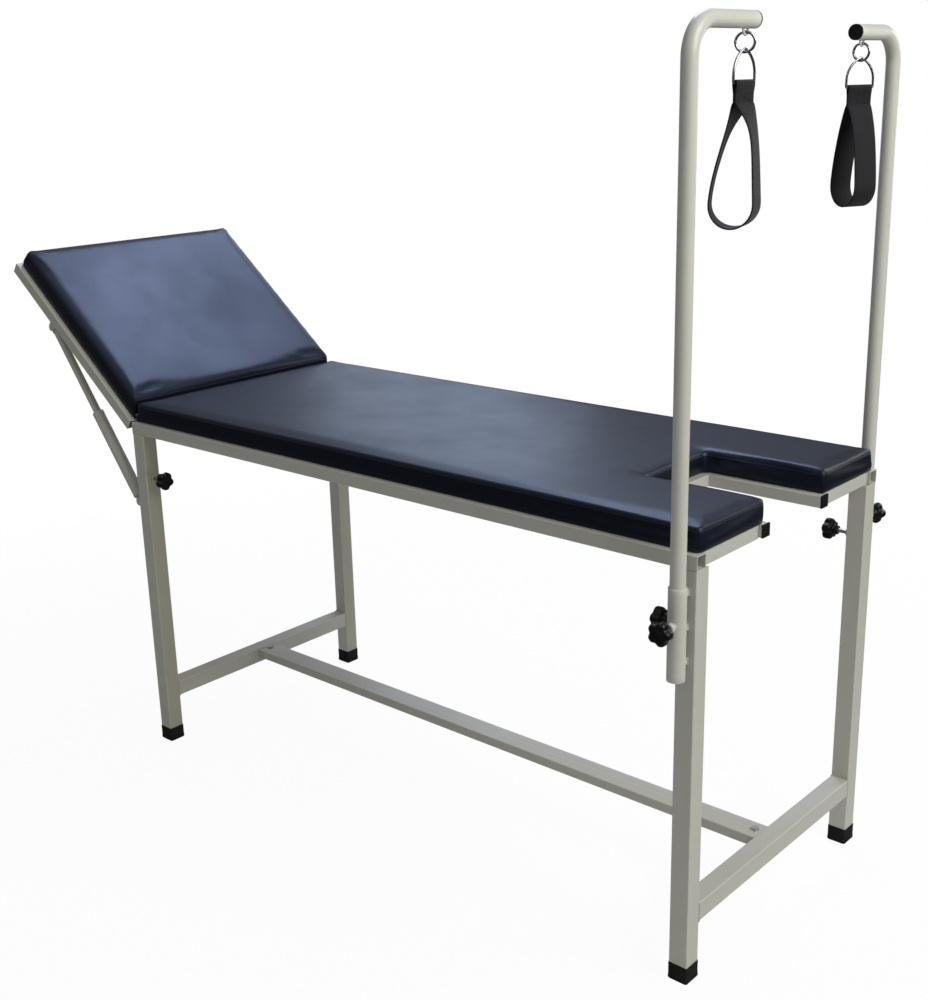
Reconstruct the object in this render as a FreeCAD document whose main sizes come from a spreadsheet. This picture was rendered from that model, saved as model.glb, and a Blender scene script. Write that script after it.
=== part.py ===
import FreeCAD, Part

# Examination table of square steel tube with a raised backrest and two leg-sling poles.
# +X runs to the foot end, -Y is the near side, +Z is up. The origin lies on the floor under
# the middle of the table. All sizes are millimetres and all angles are degrees.

import math
import os
import re

import Sketcher

V = FreeCAD.Vector
SIDES = (("near", -1), ("far", 1))
doc = FreeCAD.newDocument("ExaminationTable")

# Driving dimensions: each is written here once and read by its alias.
SIZES = {
    # the table as a whole
    "table_height": 800, "frame_width": 600, "seat_length": 1430, "pad_line_x": -514,
    # welded frame
    "rail_size": 25, "tube_wall": 1.5, "tube_corner": 2, "cutout_rail_size": 22,
    "cutout_rail_proud": 9, "cutout_bar_proud": 12, "middle_rail_place": 600, "foot_bar_inset": 6,
    # legs, stubs, caps and stretchers
    "leg_size": 35, "leg_wall": 1.5, "stub_size": 31, "stub_wall": 2, "stub_plate": 4,
    "stub_length": 131, "cap_height": 32, "cap_wall": 1.5, "cap_floor": 6, "plug_head": 3,
    "plug_depth": 16, "plug_play": 0.1, "stretcher_top": 140, "stretcher_height": 35,
    "centre_width": 50, "centre_height": 20, "centre_drop": 3, "tongue_reach": 40,
    "tongue_thick": 5, "tongue_play": 0.3, "bolt_radius": 4, "bolt_play": 0.2, "bolt_inset": 13,
    "bolt_head_radius": 7, "bolt_head": 5, "nut_thick": 6,
    # pads and boards
    "pad_thickness": 44, "pad_inset": 10, "board_thickness": 10, "board_rim": 5,
    "pad_play": 0.3, "pad_round": 6, "pad_corner": 10, "cutout_width": 194, "cutout_depth": 233,
    "cutout_corner": 4, "seat_end_bevel": 12.5, "pad_gap": 0.5,
    # backrest and its hinges
    "backrest_angle": 39, "backrest_top_angle": 45, "back_reach": 505, "hinge_drop": 5,
    "hinge_set": 8, "hinge_place": 200, "hinge_length": 60, "knuckle_radius": 4.5,
    "hinge_pin_radius": 2.5, "leaf_thickness": 2.5, "pin_play": 0.08, "knuckle_gap": 0.3,
    "middle_knuckle": 24, "pin_head": 1.5, "pin_head_radius": 3.8,
    # telescopic stays of the backrest
    "stay_inset": 15, "stay_tube_radius": 12.7, "stay_tube_wall": 1.2, "stay_tube_end": 229,
    "stay_rod_radius": 8.5, "stay_rod_wall": 1.5, "stay_rod_end": 330, "stay_neck": 14,
    "stay_plug": 8, "stay_pin_radius": 4, "stay_foot_drop": 158.5, "stay_foot_out": 10.5,
    "stay_head_reach": 335, "stay_head_drop": 14, "stay_tongue": 12, "cheek_thickness": 3,
    "cheek_gap": 0.8, "cheek_radius": 9,
    # sling poles and their sleeves
    "pole_radius": 12.5, "pole_wall": 1.5, "pole_bend": 50, "arm_end_near": 160,
    "arm_end_far": 182, "sleeve_shift_near": 0, "sleeve_shift_far": 12,
    "arm_rise_near": 720, "arm_rise_far": 706, "pole_foot_rise": 8, "sleeve_drop": 173,
    "sleeve_length": 153, "sleeve_wall": 2.1, "sleeve_play": 0.1, "sleeve_gap": 10,
    "lug_width": 10, "lug_height": 10, "lug_place": 20, "lug_step": 57, "pole_knob_rise": 92,
    # clamp knobs
    "knob_radius": 20, "knob_height": 18, "knob_edge": 3, "hub_radius": 9, "hub_height": 8,
    "knob_lobes": 5, "lobe_cut_radius": 9, "lobe_cut_place": 25, "screw_radius": 4,
    "boss_radius": 7.5, "boss_height": 6, "screw_play": 0.08, "screw_tip_gap": 0.3,
    "leg_knob_drop": 99, "leg_knob_reach": 24, "pole_knob_reach": 28, "sleeve_boss": 22,
    # slings
    "eye_radius": 6, "eye_wire": 1.75, "eye_drop": 2.5, "eye_y_near": 182, "eye_y_far": 204,
    "ring_radius": 13.5, "ring_wire": 2, "link_gap": 0.3, "dee_radius": 23.5, "dee_corner": 3,
    "dee_side": 12, "dee_spread": 14, "dee_tip": 6, "web_width": 42, "web_thickness": 2.8, "neck_length": 26, "neck_gap": 0.2,
    "sling_radius": 36, "sling_drop_near": 205, "sling_drop_far": 191,
    "ring_turn_near": 30, "ring_turn_far": 0, "dee_turn_near": 82, "dee_turn_far": 54,
}

# Sizes that follow from the driving ones.
DERIVED = {
    "side_face": "frame_width / 2",
    "pad_bottom": "table_height - pad_thickness",
    "rail_bottom": "pad_bottom - rail_size",
    "hinge_x": "pad_line_x - hinge_set",
    "hinge_z": "pad_bottom - hinge_drop",
    "head_face_x": "hinge_x + knuckle_radius",
    "foot_face_x": "pad_line_x + seat_length",
    "head_leg_x": "head_face_x + leg_size / 2",
    "foot_leg_x": "foot_face_x - leg_size / 2",
    "leg_place_y": "side_face - leg_size / 2",
    "cutout_x": "foot_face_x - cutout_depth",
    "cutout_bar_end": "cutout_x + cutout_bar_proud",
    "cutout_rail_y": "cutout_width / 2 - cutout_rail_proud",
    "centre_top": "stretcher_top - centre_drop",
    "pad_side": "side_face - pad_inset",
    "below_hinge": "hinge_drop - rail_size",
    "above_hinge": "hinge_drop + pad_thickness",
    "back_bevel": "backrest_top_angle - seat_end_bevel",
    "stay_y": "side_face - stay_inset",
    "stay_foot_x": "head_face_x - stay_foot_out",
    "stay_foot_z": "rail_bottom - stay_foot_drop",
    "stay_head_down": "stay_head_drop - below_hinge",
    "stay_head_x": "hinge_x - stay_head_reach * cos(backrest_angle)"
                   " - stay_head_down * sin(backrest_angle)",
    "stay_head_z": "hinge_z + stay_head_reach * sin(backrest_angle)"
                   " - stay_head_down * cos(backrest_angle)",
    "stay_lean": "atan((stay_foot_x - stay_head_x) / (stay_head_z - stay_foot_z)) / 1 deg",
    "cheek_out": "stay_tongue / 2 + cheek_gap + cheek_thickness",
    "sleeve_bore": "pole_radius + sleeve_play",
    "sleeve_radius": "sleeve_bore + sleeve_wall",
    "pole_place_y": "side_face + sleeve_gap + sleeve_radius",
    "sleeve_bottom": "rail_bottom - sleeve_drop",
    "pole_foot_z": "sleeve_bottom + pole_foot_rise",
    "pole_knob_z": "sleeve_bottom + pole_knob_rise",
    "arm_z_near": "table_height + arm_rise_near",
    "arm_z_far": "table_height + arm_rise_far",
    "leg_knob_z": "rail_bottom - leg_knob_drop",
    "ring_hang": "eye_radius - eye_wire - link_gap - ring_wire",
    "link_lift": "2 * ring_wire + link_gap",
    "dee_sweep": "dee_radius + dee_spread - dee_tip",
    "dee_rise": "sqrt(dee_sweep ^ 2 - dee_spread ^ 2)",
    "dee_height": "dee_side + dee_rise + dee_tip",
    "sling_pin": "ring_wire + link_gap",
}

ALIASES = set(SIZES) | set(DERIVED)
sheet = doc.addObject("Spreadsheet::Sheet", "Sizes")
for row, (alias, number) in enumerate(SIZES.items(), start=1):
    sheet.set("A%d" % row, alias)
    sheet.set("B%d" % row, str(number))
    sheet.setAlias("B%d" % row, alias)
for row, (alias, formula) in enumerate(DERIVED.items(), start=len(SIZES) + 2):
    sheet.set("A%d" % row, alias)
    sheet.set("B%d" % row, "=" + formula)
    sheet.setAlias("B%d" % row, alias)
doc.recompute()
work = doc.addObject("Spreadsheet::Sheet", "Work")


def bound(text):
    """Points the aliases in an expression at the sheet, for use in other objects."""
    return re.sub(r"[a-z][a-z_]+", lambda m: ("Sizes." if m[0] in ALIASES else "") + m[0], text)


def value(text):
    """The number that an expression gives now, to start geometry close to its place."""
    work.set("A1", "=" + bound(text))
    work.recompute()
    found = work.get("A1")
    return float(getattr(found, "Value", found))


def signed(sign, text):
    """The expression on the far side, or its mirror on the near side."""
    return "(%s)" % text if sign > 0 else "-(%s)" % text


def span(sign, inner, outer):
    """Low and high Y of a stretch given by its distances from the middle plane."""
    ends = (signed(sign, inner), signed(sign, outer))
    return ends if sign > 0 else ends[::-1]


def rect(u0, u1, w0, w1):
    return [(u0, w0), (u1, w0), (u1, w1), (u0, w1)]


def new_body(label):
    body = doc.addObject("PartDesign::Body", label)
    body.Label = label
    return body


def place(thing, base, turn=None, angle=None, axis=V(0, 1, 0)):
    """Puts a body or solid at expressions for X, Y and Z, turned by a rotation or an angle."""
    if angle is not None:
        thing.Placement = FreeCAD.Placement(V(), FreeCAD.Rotation(axis, value(angle)))
        thing.setExpression("Placement.Rotation.Angle", bound(angle))
    elif turn is not None:
        thing.Placement = FreeCAD.Placement(V(), turn)
    for name, text in zip("xyz", base):
        thing.setExpression("Placement.Base." + name, bound(text))


def sketch_on(body, plane, height="0"):
    """A sketch on one of the body's origin planes, moved along its normal."""
    sketch = body.newObject("Sketcher::SketchObject", body.Name + "Sketch")
    support = [f for f in body.Origin.OriginFeatures if f.Role == plane + "_Plane"][0]
    sketch.AttachmentSupport = (support, [""])
    sketch.MapMode = "FlatFace"
    sketch.setExpression("AttachmentOffset.Base.z", bound(height))
    return sketch


def pin_point(sketch, geometry, position, point, axes="XY"):
    """Dimensions one point of a sketch from its origin by expressions."""
    for axis, text in zip("XY", point):
        if axis in axes:
            rule = Sketcher.Constraint("Distance" + axis, -1, 1, geometry, position, value(text))
            sketch.setExpression("Constraints[%d]" % sketch.addConstraint(rule), bound(text))


def outline(sketch, loop):
    """Draws a closed loop of corners, or a circle given as (u, w, radius)."""
    first = sketch.GeometryCount
    if isinstance(loop, tuple):
        u, w, radius = loop
        sketch.addGeometry(Part.Circle(V(value(u), value(w), 0), V(0, 0, 1), value(radius)))
        pin_point(sketch, first, 3, (u, w))
        index = sketch.addConstraint(Sketcher.Constraint("Radius", first, value(radius)))
        sketch.setExpression("Constraints[%d]" % index, bound(radius))
        return
    spots = [V(value(u), value(w), 0) for u, w in loop]
    count = len(spots)
    for i in range(count):
        sketch.addGeometry(Part.LineSegment(spots[i], spots[(i + 1) % count]))
    for i in range(count):
        rule = Sketcher.Constraint("Coincident", first + i, 2, first + (i + 1) % count, 1)
        sketch.addConstraint(rule)
    for i in range(count):
        pin_point(sketch, first + i, 1, loop[i])


def prism(body, plane, low, high, *loops, cut=False):
    """Pads loops from low to high along the plane's axis, or pockets them."""
    sketch = sketch_on(body, plane, "-(%s)" % high if plane == "XZ" else low)
    for loop in loops:
        outline(sketch, loop)
    kind = "Pocket" if cut else "Pad"
    feature = body.newObject("PartDesign::" + kind, body.Name + kind)
    feature.Profile = sketch
    feature.Reversed = cut
    feature.setExpression("Length", bound("(%s) - (%s)" % (high, low)))
    return feature


def round_edges(body, radius, wanted):
    """Rounds the edges of a body that a test on their ends picks."""
    doc.recompute()
    tip = body.Tip
    names = []
    for number, edge in enumerate(tip.Shape.Edges, start=1):
        if len(edge.Vertexes) == 2 and wanted(edge.Vertexes[0].Point, edge.Vertexes[1].Point):
            names.append("Edge%d" % number)
    fillet = body.newObject("PartDesign::Fillet", body.Name + "Fillet")
    fillet.Base = (tip, names)
    fillet.setExpression("Radius", bound(radius))
    return fillet


def square_tube(label, axis, low, high, u0, u1, w0, w1, wall="tube_wall"):
    """A square tube along X, Y or Z with open ends and rounded outer corners."""
    body = new_body(label)
    plane = {"X": "YZ", "Y": "XZ", "Z": "XY"}[axis]
    inner = rect("%s + %s" % (u0, wall), "%s - %s" % (u1, wall),
                 "%s + %s" % (w0, wall), "%s - %s" % (w1, wall))
    prism(body, plane, low, high, rect(u0, u1, w0, w1), inner)
    along = "XYZ".index(axis)
    across = [i for i in range(3) if i != along]
    corners = [(value(u), value(w)) for u in (u0, u1) for w in (w0, w1)]

    def wanted(a, b):
        if any(abs(a[i] - b[i]) > 1e-3 for i in across):
            return False
        return any(abs(a[across[0]] - u) + abs(a[across[1]] - w) < 1e-2 for u, w in corners)

    round_edges(body, "tube_corner", wanted)
    return body


def primitive(kind, base, turn=None, angle=None, **sizes):
    """A Part box, cylinder or torus with expressions for its sizes."""
    thing = doc.addObject("Part::" + kind, kind)
    for name, text in sizes.items():
        thing.setExpression(name, bound(text))
    place(thing, base, turn, angle)
    return thing


def fuse(label, *things):
    joined = doc.addObject("Part::MultiFuse", label)
    joined.Shapes = list(things)
    joined.Label = label
    return joined


def cut(label, base, *tools):
    """Cuts the tools out of the base."""
    taken = doc.addObject("Part::Cut", label)
    taken.Base = base
    taken.Tool = tools[0] if len(tools) == 1 else fuse(label + "Tools", *tools)
    taken.Label = label
    return taken


def group(label, *things):
    """One named sub-part made of several loose or welded solids."""
    held = doc.addObject("Part::Compound", label)
    held.Links = list(things)
    held.Label = label
    return held


def box(x0, x1, y0, y1, z0, z1):
    return primitive("Box", (x0, y0, z0), Length="(%s) - (%s)" % (x1, x0),
                     Width="(%s) - (%s)" % (y1, y0), Height="(%s) - (%s)" % (z1, z0))


TO_X = FreeCAD.Rotation(V(0, 1, 0), 90)
TO_MINUS_X = FreeCAD.Rotation(V(0, 1, 0), -90)
TO_Y = FreeCAD.Rotation(V(1, 0, 0), -90)
TO_MINUS_Y = FreeCAD.Rotation(V(1, 0, 0), 90)

nodes = []

# Seat frame: two side rails, three cross rails, the cut-out's two rails and two end bars.
for side, sign in SIDES:
    y0, y1 = span(sign, "side_face - rail_size", "side_face")
    nodes.append(square_tube("side_rail_" + side, "X", "head_face_x", "foot_face_x",
                             y0, y1, "rail_bottom", "pad_bottom"))
rail_y = ("-(side_face - rail_size)", "side_face - rail_size")
middle_x = "pad_line_x + middle_rail_place"
nodes.append(square_tube("head_cross_rail", "Y", *rail_y, "head_face_x",
                         "head_face_x + rail_size", "rail_bottom", "pad_bottom"))
nodes.append(square_tube("middle_cross_rail", "Y", *rail_y, middle_x,
                         middle_x + " + rail_size", "rail_bottom", "pad_bottom"))
cutout_z = ("pad_bottom - cutout_rail_size", "pad_bottom")
nodes.append(square_tube("cutout_cross_rail", "Y", *rail_y,
                         "cutout_bar_end - cutout_rail_size", "cutout_bar_end", *cutout_z))
plugs = []
for side, sign in SIDES:
    y0, y1 = span(sign, "cutout_rail_y", "cutout_rail_y + cutout_rail_size")
    nodes.append(square_tube("cutout_rail_" + side, "X", "cutout_bar_end", "foot_face_x",
                             y0, y1, *cutout_z))
    plug = new_body("cutout_plug_" + side)
    prism(plug, "YZ", "foot_face_x", "foot_face_x + plug_head", rect(y0, y1, *cutout_z))
    shrink = "tube_wall + plug_play"
    stem = rect("%s + %s" % (y0, shrink), "%s - (%s)" % (y1, shrink),
                "%s + %s" % (cutout_z[0], shrink), "%s - (%s)" % (cutout_z[1], shrink))
    prism(plug, "YZ", "foot_face_x - plug_depth", "foot_face_x", stem)
    plugs.append(plug)
    y0, y1 = span(sign, "cutout_rail_y + cutout_rail_size", "side_face - rail_size")
    nodes.append(square_tube("foot_end_bar_" + side, "Y", y0, y1,
                             "foot_face_x - foot_bar_inset - rail_size",
                             "foot_face_x - foot_bar_inset", "rail_bottom", "pad_bottom"))
nodes.append(group("cutout_rail_plugs", *plugs))


def knob(label, reach, base, turn):
    """A lobed clamp knob on its screw, drawn along +Z from the hub's inner face."""
    grip = new_body(label + "_grip")
    top = "hub_height + knob_height"
    profile = sketch_on(grip, "XZ")
    outline(profile, [("0", "0"), ("hub_radius - 1", "0"), ("hub_radius", "hub_height"),
                      ("knob_radius - knob_edge", "hub_height"),
                      ("knob_radius", "hub_height + knob_edge"),
                      ("knob_radius", top + " - knob_edge"),
                      ("knob_radius - knob_edge", top), ("0", top)])
    turned = grip.newObject("PartDesign::Revolution", label + "Turned")
    turned.Profile = profile
    turned.ReferenceAxis = (profile, ["V_Axis"])
    turned.Angle = 360
    scallop = prism(grip, "XY", "hub_height - 1", top + " + 1",
                    ("lobe_cut_place", "0", "lobe_cut_radius"), cut=True)
    lobes = grip.newObject("PartDesign::PolarPattern", label + "Lobes")
    lobes.Originals = [scallop]
    axis = [f for f in grip.Origin.OriginFeatures if f.Role == "Z_Axis"][0]
    lobes.Axis = (axis, [""])
    lobes.Angle = 360
    lobes.setExpression("Occurrences", bound("knob_lobes"))
    grip.Tip = lobes
    screw = primitive("Cylinder", ("0", "0", "-(%s)" % reach), Radius="screw_radius",
                      Height=reach)
    whole = group(label, grip, screw)
    place(whole, base, turn)
    return whole


# Legs: square tubes that slide over the frame's stubs, each held by a clamp knob.
stubs, caps = [], []
for end, x, face in (("head", "head_leg_x", 1), ("foot", "foot_leg_x", -1)):
    for side, sign in SIDES:
        y = signed(sign, "leg_place_y")
        half = "leg_size / 2"
        leg = square_tube("%s_leg_%s" % (end, side), "Z", "cap_floor", "rail_bottom",
                          "%s - %s" % (x, half), "%s + %s" % (x, half),
                          "%s - %s" % (y, half), "%s + %s" % (y, half), "leg_wall")
        near_end, far_end = "leg_size / 2", "leg_size / 2 + boss_height"
        ends = ["%s + %s" % (x, near_end), "%s + %s" % (x, far_end)]
        bore = ["%s + leg_size / 2 - leg_wall - 1" % x, "%s + %s" % (x, far_end)]
        if face < 0:
            ends = ["%s - (%s)" % (x, far_end), "%s - %s" % (x, near_end)]
            bore = ["%s - (%s)" % (x, far_end), "%s - leg_size / 2 + leg_wall + 1" % x]
        prism(leg, "YZ", ends[0], ends[1], (y, "leg_knob_z", "boss_radius"))
        prism(leg, "YZ", bore[0], bore[1], (y, "leg_knob_z", "screw_radius + screw_play"),
              cut=True)
        nodes.append(leg)
        stub = new_body("stub_%s_%s" % (end, side))
        edge = "stub_size / 2"
        outer = rect("%s - %s" % (x, edge), "%s + %s" % (x, edge),
                     "%s - %s" % (y, edge), "%s + %s" % (y, edge))
        inner = rect("%s - %s + stub_wall" % (x, edge), "%s + %s - stub_wall" % (x, edge),
                     "%s - %s + stub_wall" % (y, edge), "%s + %s - stub_wall" % (y, edge))
        prism(stub, "XY", "rail_bottom - stub_plate", "rail_bottom", outer)
        prism(stub, "XY", "rail_bottom - stub_length", "rail_bottom - stub_plate", outer, inner)
        stubs.append(stub)
        cap = new_body("cap_%s_%s" % (end, side))
        wide = "(leg_size / 2 + cap_wall)"
        prism(cap, "XY", "0", "cap_height", rect("%s - %s" % (x, wide), "%s + %s" % (x, wide),
                                                 "%s - %s" % (y, wide), "%s + %s" % (y, wide)))
        prism(cap, "XY", "cap_floor", "cap_height + 1",
              rect("%s - %s" % (x, half), "%s + %s" % (x, half),
                   "%s - %s" % (y, half), "%s + %s" % (y, half)), cut=True)
        caps.append(cap)
        reach = ("leg_knob_reach + leg_wall + (leg_size - stub_size) / 2 - leg_wall"
                 " - screw_tip_gap")
        start = "%s %s (leg_size / 2 + leg_knob_reach)" % (x, "+" if face > 0 else "-")
        nodes.append(knob("leg_knob_%s_%s" % (end, side), reach, (start, y, "leg_knob_z"),
                          TO_X if face > 0 else TO_MINUS_X))
nodes.append(group("leg_stubs", *stubs))
nodes.append(group("leg_caps", *caps))

# Stretchers: one between each pair of legs, and a flat one bolted on their tongues.
bolts = []
stretch_y = ("-(side_face - leg_size)", "side_face - leg_size")
stretch_z = ("stretcher_top - stretcher_height", "stretcher_top")
for end, x, face in (("head", "head_leg_x", 1), ("foot", "foot_leg_x", -1)):
    bar = square_tube(end + "_stretcher_tube", "Y", *stretch_y, x + " - leg_size / 2",
                      x + " + leg_size / 2", *stretch_z)
    root = "%s %s leg_size / 2" % (x, "+" if face > 0 else "-")
    tip = "%s %s (leg_size / 2 + tongue_reach)" % (x, "+" if face > 0 else "-")
    place_x = "%s %s (leg_size / 2 + bolt_inset)" % (x, "+" if face > 0 else "-")
    x0, x1 = (root, tip) if face > 0 else (tip, root)
    tongue_y = "centre_width / 2 - tube_wall - tongue_play"
    tongue_z = "centre_top - tube_wall"
    tongue = box(x0, x1, "-(%s)" % tongue_y, tongue_y, tongue_z + " - tongue_thick", tongue_z)
    hole = primitive("Cylinder", (place_x, "0", tongue_z + " - 2 * tongue_thick"),
                     Radius="bolt_radius + bolt_play", Height="4 * tongue_thick")
    nodes.append(cut(end + "_stretcher", fuse(end + "StretcherSolid", bar, tongue), hole))
    shank = primitive("Cylinder", (place_x, "0", "centre_top - tube_wall - tongue_thick"),
                      Radius="bolt_radius", Height="tube_wall + tongue_thick")
    head = doc.addObject("Part::Prism", end + "BoltHead")
    head.Polygon = 6
    head.setExpression("Circumradius", bound("bolt_head_radius"))
    head.setExpression("Height", bound("bolt_head"))
    place(head, (place_x, "0", "centre_top"))
    nut = doc.addObject("Part::Prism", end + "BoltNut")
    nut.Polygon = 6
    nut.setExpression("Circumradius", bound("bolt_head_radius"))
    nut.setExpression("Height", bound("nut_thick"))
    place(nut, (place_x, "0", tongue_z + " - tongue_thick - nut_thick"))
    bolts.append(fuse(end + "_bolt", shank, head, nut))
centre = square_tube("centre_stretcher", "X", "head_leg_x + leg_size / 2",
                     "foot_leg_x - leg_size / 2", "-centre_width / 2", "centre_width / 2",
                     "centre_top - centre_height", "centre_top")
for place_x in ("head_leg_x + leg_size / 2 + bolt_inset", "foot_leg_x - leg_size / 2 - bolt_inset"):
    prism(centre, "XY", "centre_top - 2 * tube_wall", "centre_top + 1",
          (place_x, "0", "bolt_radius + bolt_play"), cut=True)
nodes.append(centre)
nodes.append(group("stretcher_bolts", *bolts))


def cushion(label, base_z, top_z, x0_low, x0_high, x1, cutout, turned):
    """A cushion with one bevelled end, a recess for its board and perhaps a cut-out."""
    body = new_body(label)
    prism(body, "XZ", "-pad_side", "pad_side",
          [(x0_low, base_z), (x1, base_z), (x1, top_z), (x0_high, top_z)])
    board_top = "%s + board_thickness" % base_z
    prism(body, "XY", base_z + " - 1", board_top + " + pad_play",
          board_shape(x0_low, x1, "board_rim", cutout, turned), cut=True)
    if cutout:
        prism(body, "XY", base_z + " - 1", top_z + " + 1",
              rect("cutout_x", "foot_face_x + 1", "-cutout_width / 2", "cutout_width / 2"),
              cut=True)
    bottom, top = value(base_z), value(top_z)
    reach, wide = value(x1), value("pad_side")
    slot_x, slot_y = value("cutout_x"), value("cutout_width / 2")

    def upright(a, b):
        level = abs(a.x - b.x) + abs(a.y - b.y) < 1e-3
        return level and abs(abs(a.z - b.z) - (top - bottom)) < 1e-3

    round_edges(body, "pad_corner", lambda a, b: upright(a, b) and abs(abs(a.y) - wide) < 1e-3)
    if cutout:
        round_edges(body, "cutout_corner", lambda a, b: upright(a, b) and abs(a.x - slot_x) < 1e-3)

    def upper(a, b):
        return abs(a.z - top) < 1e-3 and abs(b.z - top) < 1e-3

    round_edges(body, "pad_round", upper)
    return body


def board_shape(x0, x1, inset, cutout, turned):
    """The outline of a board that lies an inset within the underside of its cushion."""
    start = "%s %s (%s)" % (x0, "-" if turned else "+", inset)
    stop = "%s %s (%s)" % (x1, "+" if turned else "-", inset)
    wide = "pad_side - (%s)" % inset
    if not cutout:
        return rect(start, stop, "-(%s)" % wide, wide)
    slot = "cutout_width / 2 + (%s)" % inset
    slot_x = "cutout_x - (%s)" % inset
    return [(start, "-(%s)" % wide), (stop, "-(%s)" % wide), (stop, "-(%s)" % slot),
            (slot_x, "-(%s)" % slot), (slot_x, slot), (stop, slot), (stop, wide), (start, wide)]


# Seat pad: a plywood board in the underside of a cushion with the foot-end cut-out.
seat_low = "hinge_x + pad_gap + hinge_drop * tan(seat_end_bevel)"
seat_high = "hinge_x + pad_gap + above_hinge * tan(seat_end_bevel)"
seat_board = new_body("seat_board")
prism(seat_board, "XY", "pad_bottom", "pad_bottom + board_thickness",
      board_shape(seat_low, "foot_face_x", "board_rim + pad_play", True, False))
nodes.append(seat_board)
nodes.append(cushion("seat_cushion", "pad_bottom", "table_height", seat_low, seat_high,
                     "foot_face_x", True, False))

# Butt hinges: seat leaves and pins stand still, back leaves turn with the backrest.
HINGE = ("hinge_x", "0", "hinge_z")


def leaf(label, sign_x, middle, knuckles):
    """One hinge leaf with its knuckles, drawn about the hinge axis."""
    face, inner = "knuckle_radius", "knuckle_radius - leaf_thickness"
    x0, x1 = (inner, face) if sign_x > 0 else ("-" + face, "-(%s)" % inner)
    half = "hinge_length / 2"
    parts = [box(x0, x1, "%s - %s" % (middle, half), "%s + %s" % (middle, half),
                 "below_hinge", "-knuckle_radius - 0.5")]
    bores = []
    for low, high in knuckles:
        y0, y1 = "%s + %s" % (middle, low), "%s + %s" % (middle, high)
        parts.append(box(x0, x1, y0, y1, "-knuckle_radius - 0.5", "0"))
        parts.append(primitive("Cylinder", ("0", y0, "0"), TO_Y, Radius="knuckle_radius",
                               Height="(%s) - (%s)" % (high, low)))
    bore = "hinge_pin_radius" if sign_x > 0 else "hinge_pin_radius + pin_play"
    bores.append(primitive("Cylinder", ("0", "%s - %s" % (middle, half), "0"), TO_Y,
                           Radius=bore, Height="hinge_length"))
    return cut(label, fuse(label + "Solid", *parts), *bores)


seat_leaves, back_leaves, pins = [], [], []
edge = "middle_knuckle / 2"
for side, sign in SIDES:
    middle = signed(sign, "hinge_place")
    seat_leaves.append(leaf("seat_leaf_" + side, 1, middle, (
        ("-hinge_length / 2", "-(%s)" % edge), (edge, "hinge_length / 2"))))
    back_leaves.append(leaf("back_leaf_" + side, -1, middle, (
        ("-(%s) + knuckle_gap" % edge, "%s - knuckle_gap" % edge),)))
    pin = primitive("Cylinder", ("0", "%s - hinge_length / 2" % middle, "0"), TO_Y,
                    Radius="hinge_pin_radius", Height="hinge_length")
    head = primitive("Cylinder", ("0", "%s - hinge_length / 2 - pin_head" % middle, "0"), TO_Y,
                     Radius="pin_head_radius", Height="pin_head")
    pins.append(fuse("hinge_pin_" + side, pin, head))
for label, things in (("hinge_seat_leaves", seat_leaves), ("hinge_pins", pins)):
    held = group(label, *things)
    place(held, HINGE)
    nodes.append(held)


def on_back(thing):
    """Turns something drawn about the hinge axis to the backrest's angle."""
    place(thing, HINGE, angle="backrest_angle")
    nodes.append(thing)
    return thing


# Backrest: a tube frame and a pad, drawn flat about the hinge axis and turned up.
back_z = ("below_hinge", "hinge_drop")
for side, sign in SIDES:
    y0, y1 = span(sign, "side_face - rail_size", "side_face")
    on_back(square_tube("back_rail_" + side, "X", "-back_reach", "-knuckle_radius",
                        y0, y1, *back_z))
on_back(square_tube("back_head_rail", "Y", *rail_y, "-back_reach", "-back_reach + rail_size",
                    *back_z))
on_back(square_tube("back_hinge_rail", "Y", *rail_y, "-knuckle_radius - rail_size",
                    "-knuckle_radius", *back_z))
back_low = "-(pad_gap + hinge_drop * tan(back_bevel))"
back_high = "-(pad_gap + above_hinge * tan(back_bevel))"
back_board = new_body("back_board")
prism(back_board, "XY", "hinge_drop", "hinge_drop + board_thickness",
      board_shape(back_low, "-back_reach", "board_rim + pad_play", False, True))
on_back(back_board)
on_back(cushion("back_cushion", "hinge_drop", "above_hinge", back_low, back_high,
                "-back_reach", False, True))
on_back(group("hinge_back_leaves", *back_leaves))

# Stays: brackets with pins on the legs and under the back rails, and two sliding tubes.
cheek_in = "stay_tongue / 2 + cheek_gap"


def bracket(label, middle, root, down):
    """Two cheeks and a pin about the origin, reaching to a root along X or up Z."""
    parts = []
    for y0, y1 in ((cheek_in, "cheek_out"), ("-cheek_out", "-(%s)" % cheek_in)):
        y0, y1 = "%s + %s" % (middle, y0), "%s + %s" % (middle, y1)
        parts.append(primitive("Cylinder", ("0", y0, "0"), TO_Y, Radius="cheek_radius",
                               Height="cheek_thickness"))
        if down:
            parts.append(box("-cheek_radius", "cheek_radius", y0, y1, "0", root))
        else:
            parts.append(box("0", root, y0, y1, "-cheek_radius", "cheek_radius"))
    parts.append(primitive("Cylinder", ("0", "%s - cheek_out" % middle, "0"), TO_Y,
                           Radius="stay_pin_radius", Height="2 * cheek_out"))
    return fuse(label, *parts)


leg_brackets, back_brackets = [], []
for side, sign in SIDES:
    middle = signed(sign, "stay_y")
    leg_brackets.append(bracket("leg_bracket_" + side, middle, "stay_foot_out", False))
    back_brackets.append(bracket("back_bracket_" + side, middle, "stay_head_drop", True))
feet = group("stay_leg_brackets", *leg_brackets)
place(feet, ("stay_foot_x", "0", "stay_foot_z"))
nodes.append(feet)
heads = group("stay_back_brackets", *back_brackets)
place(heads, ("stay_head_x", "0", "stay_head_z"), angle="backrest_angle")
nodes.append(heads)


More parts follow.
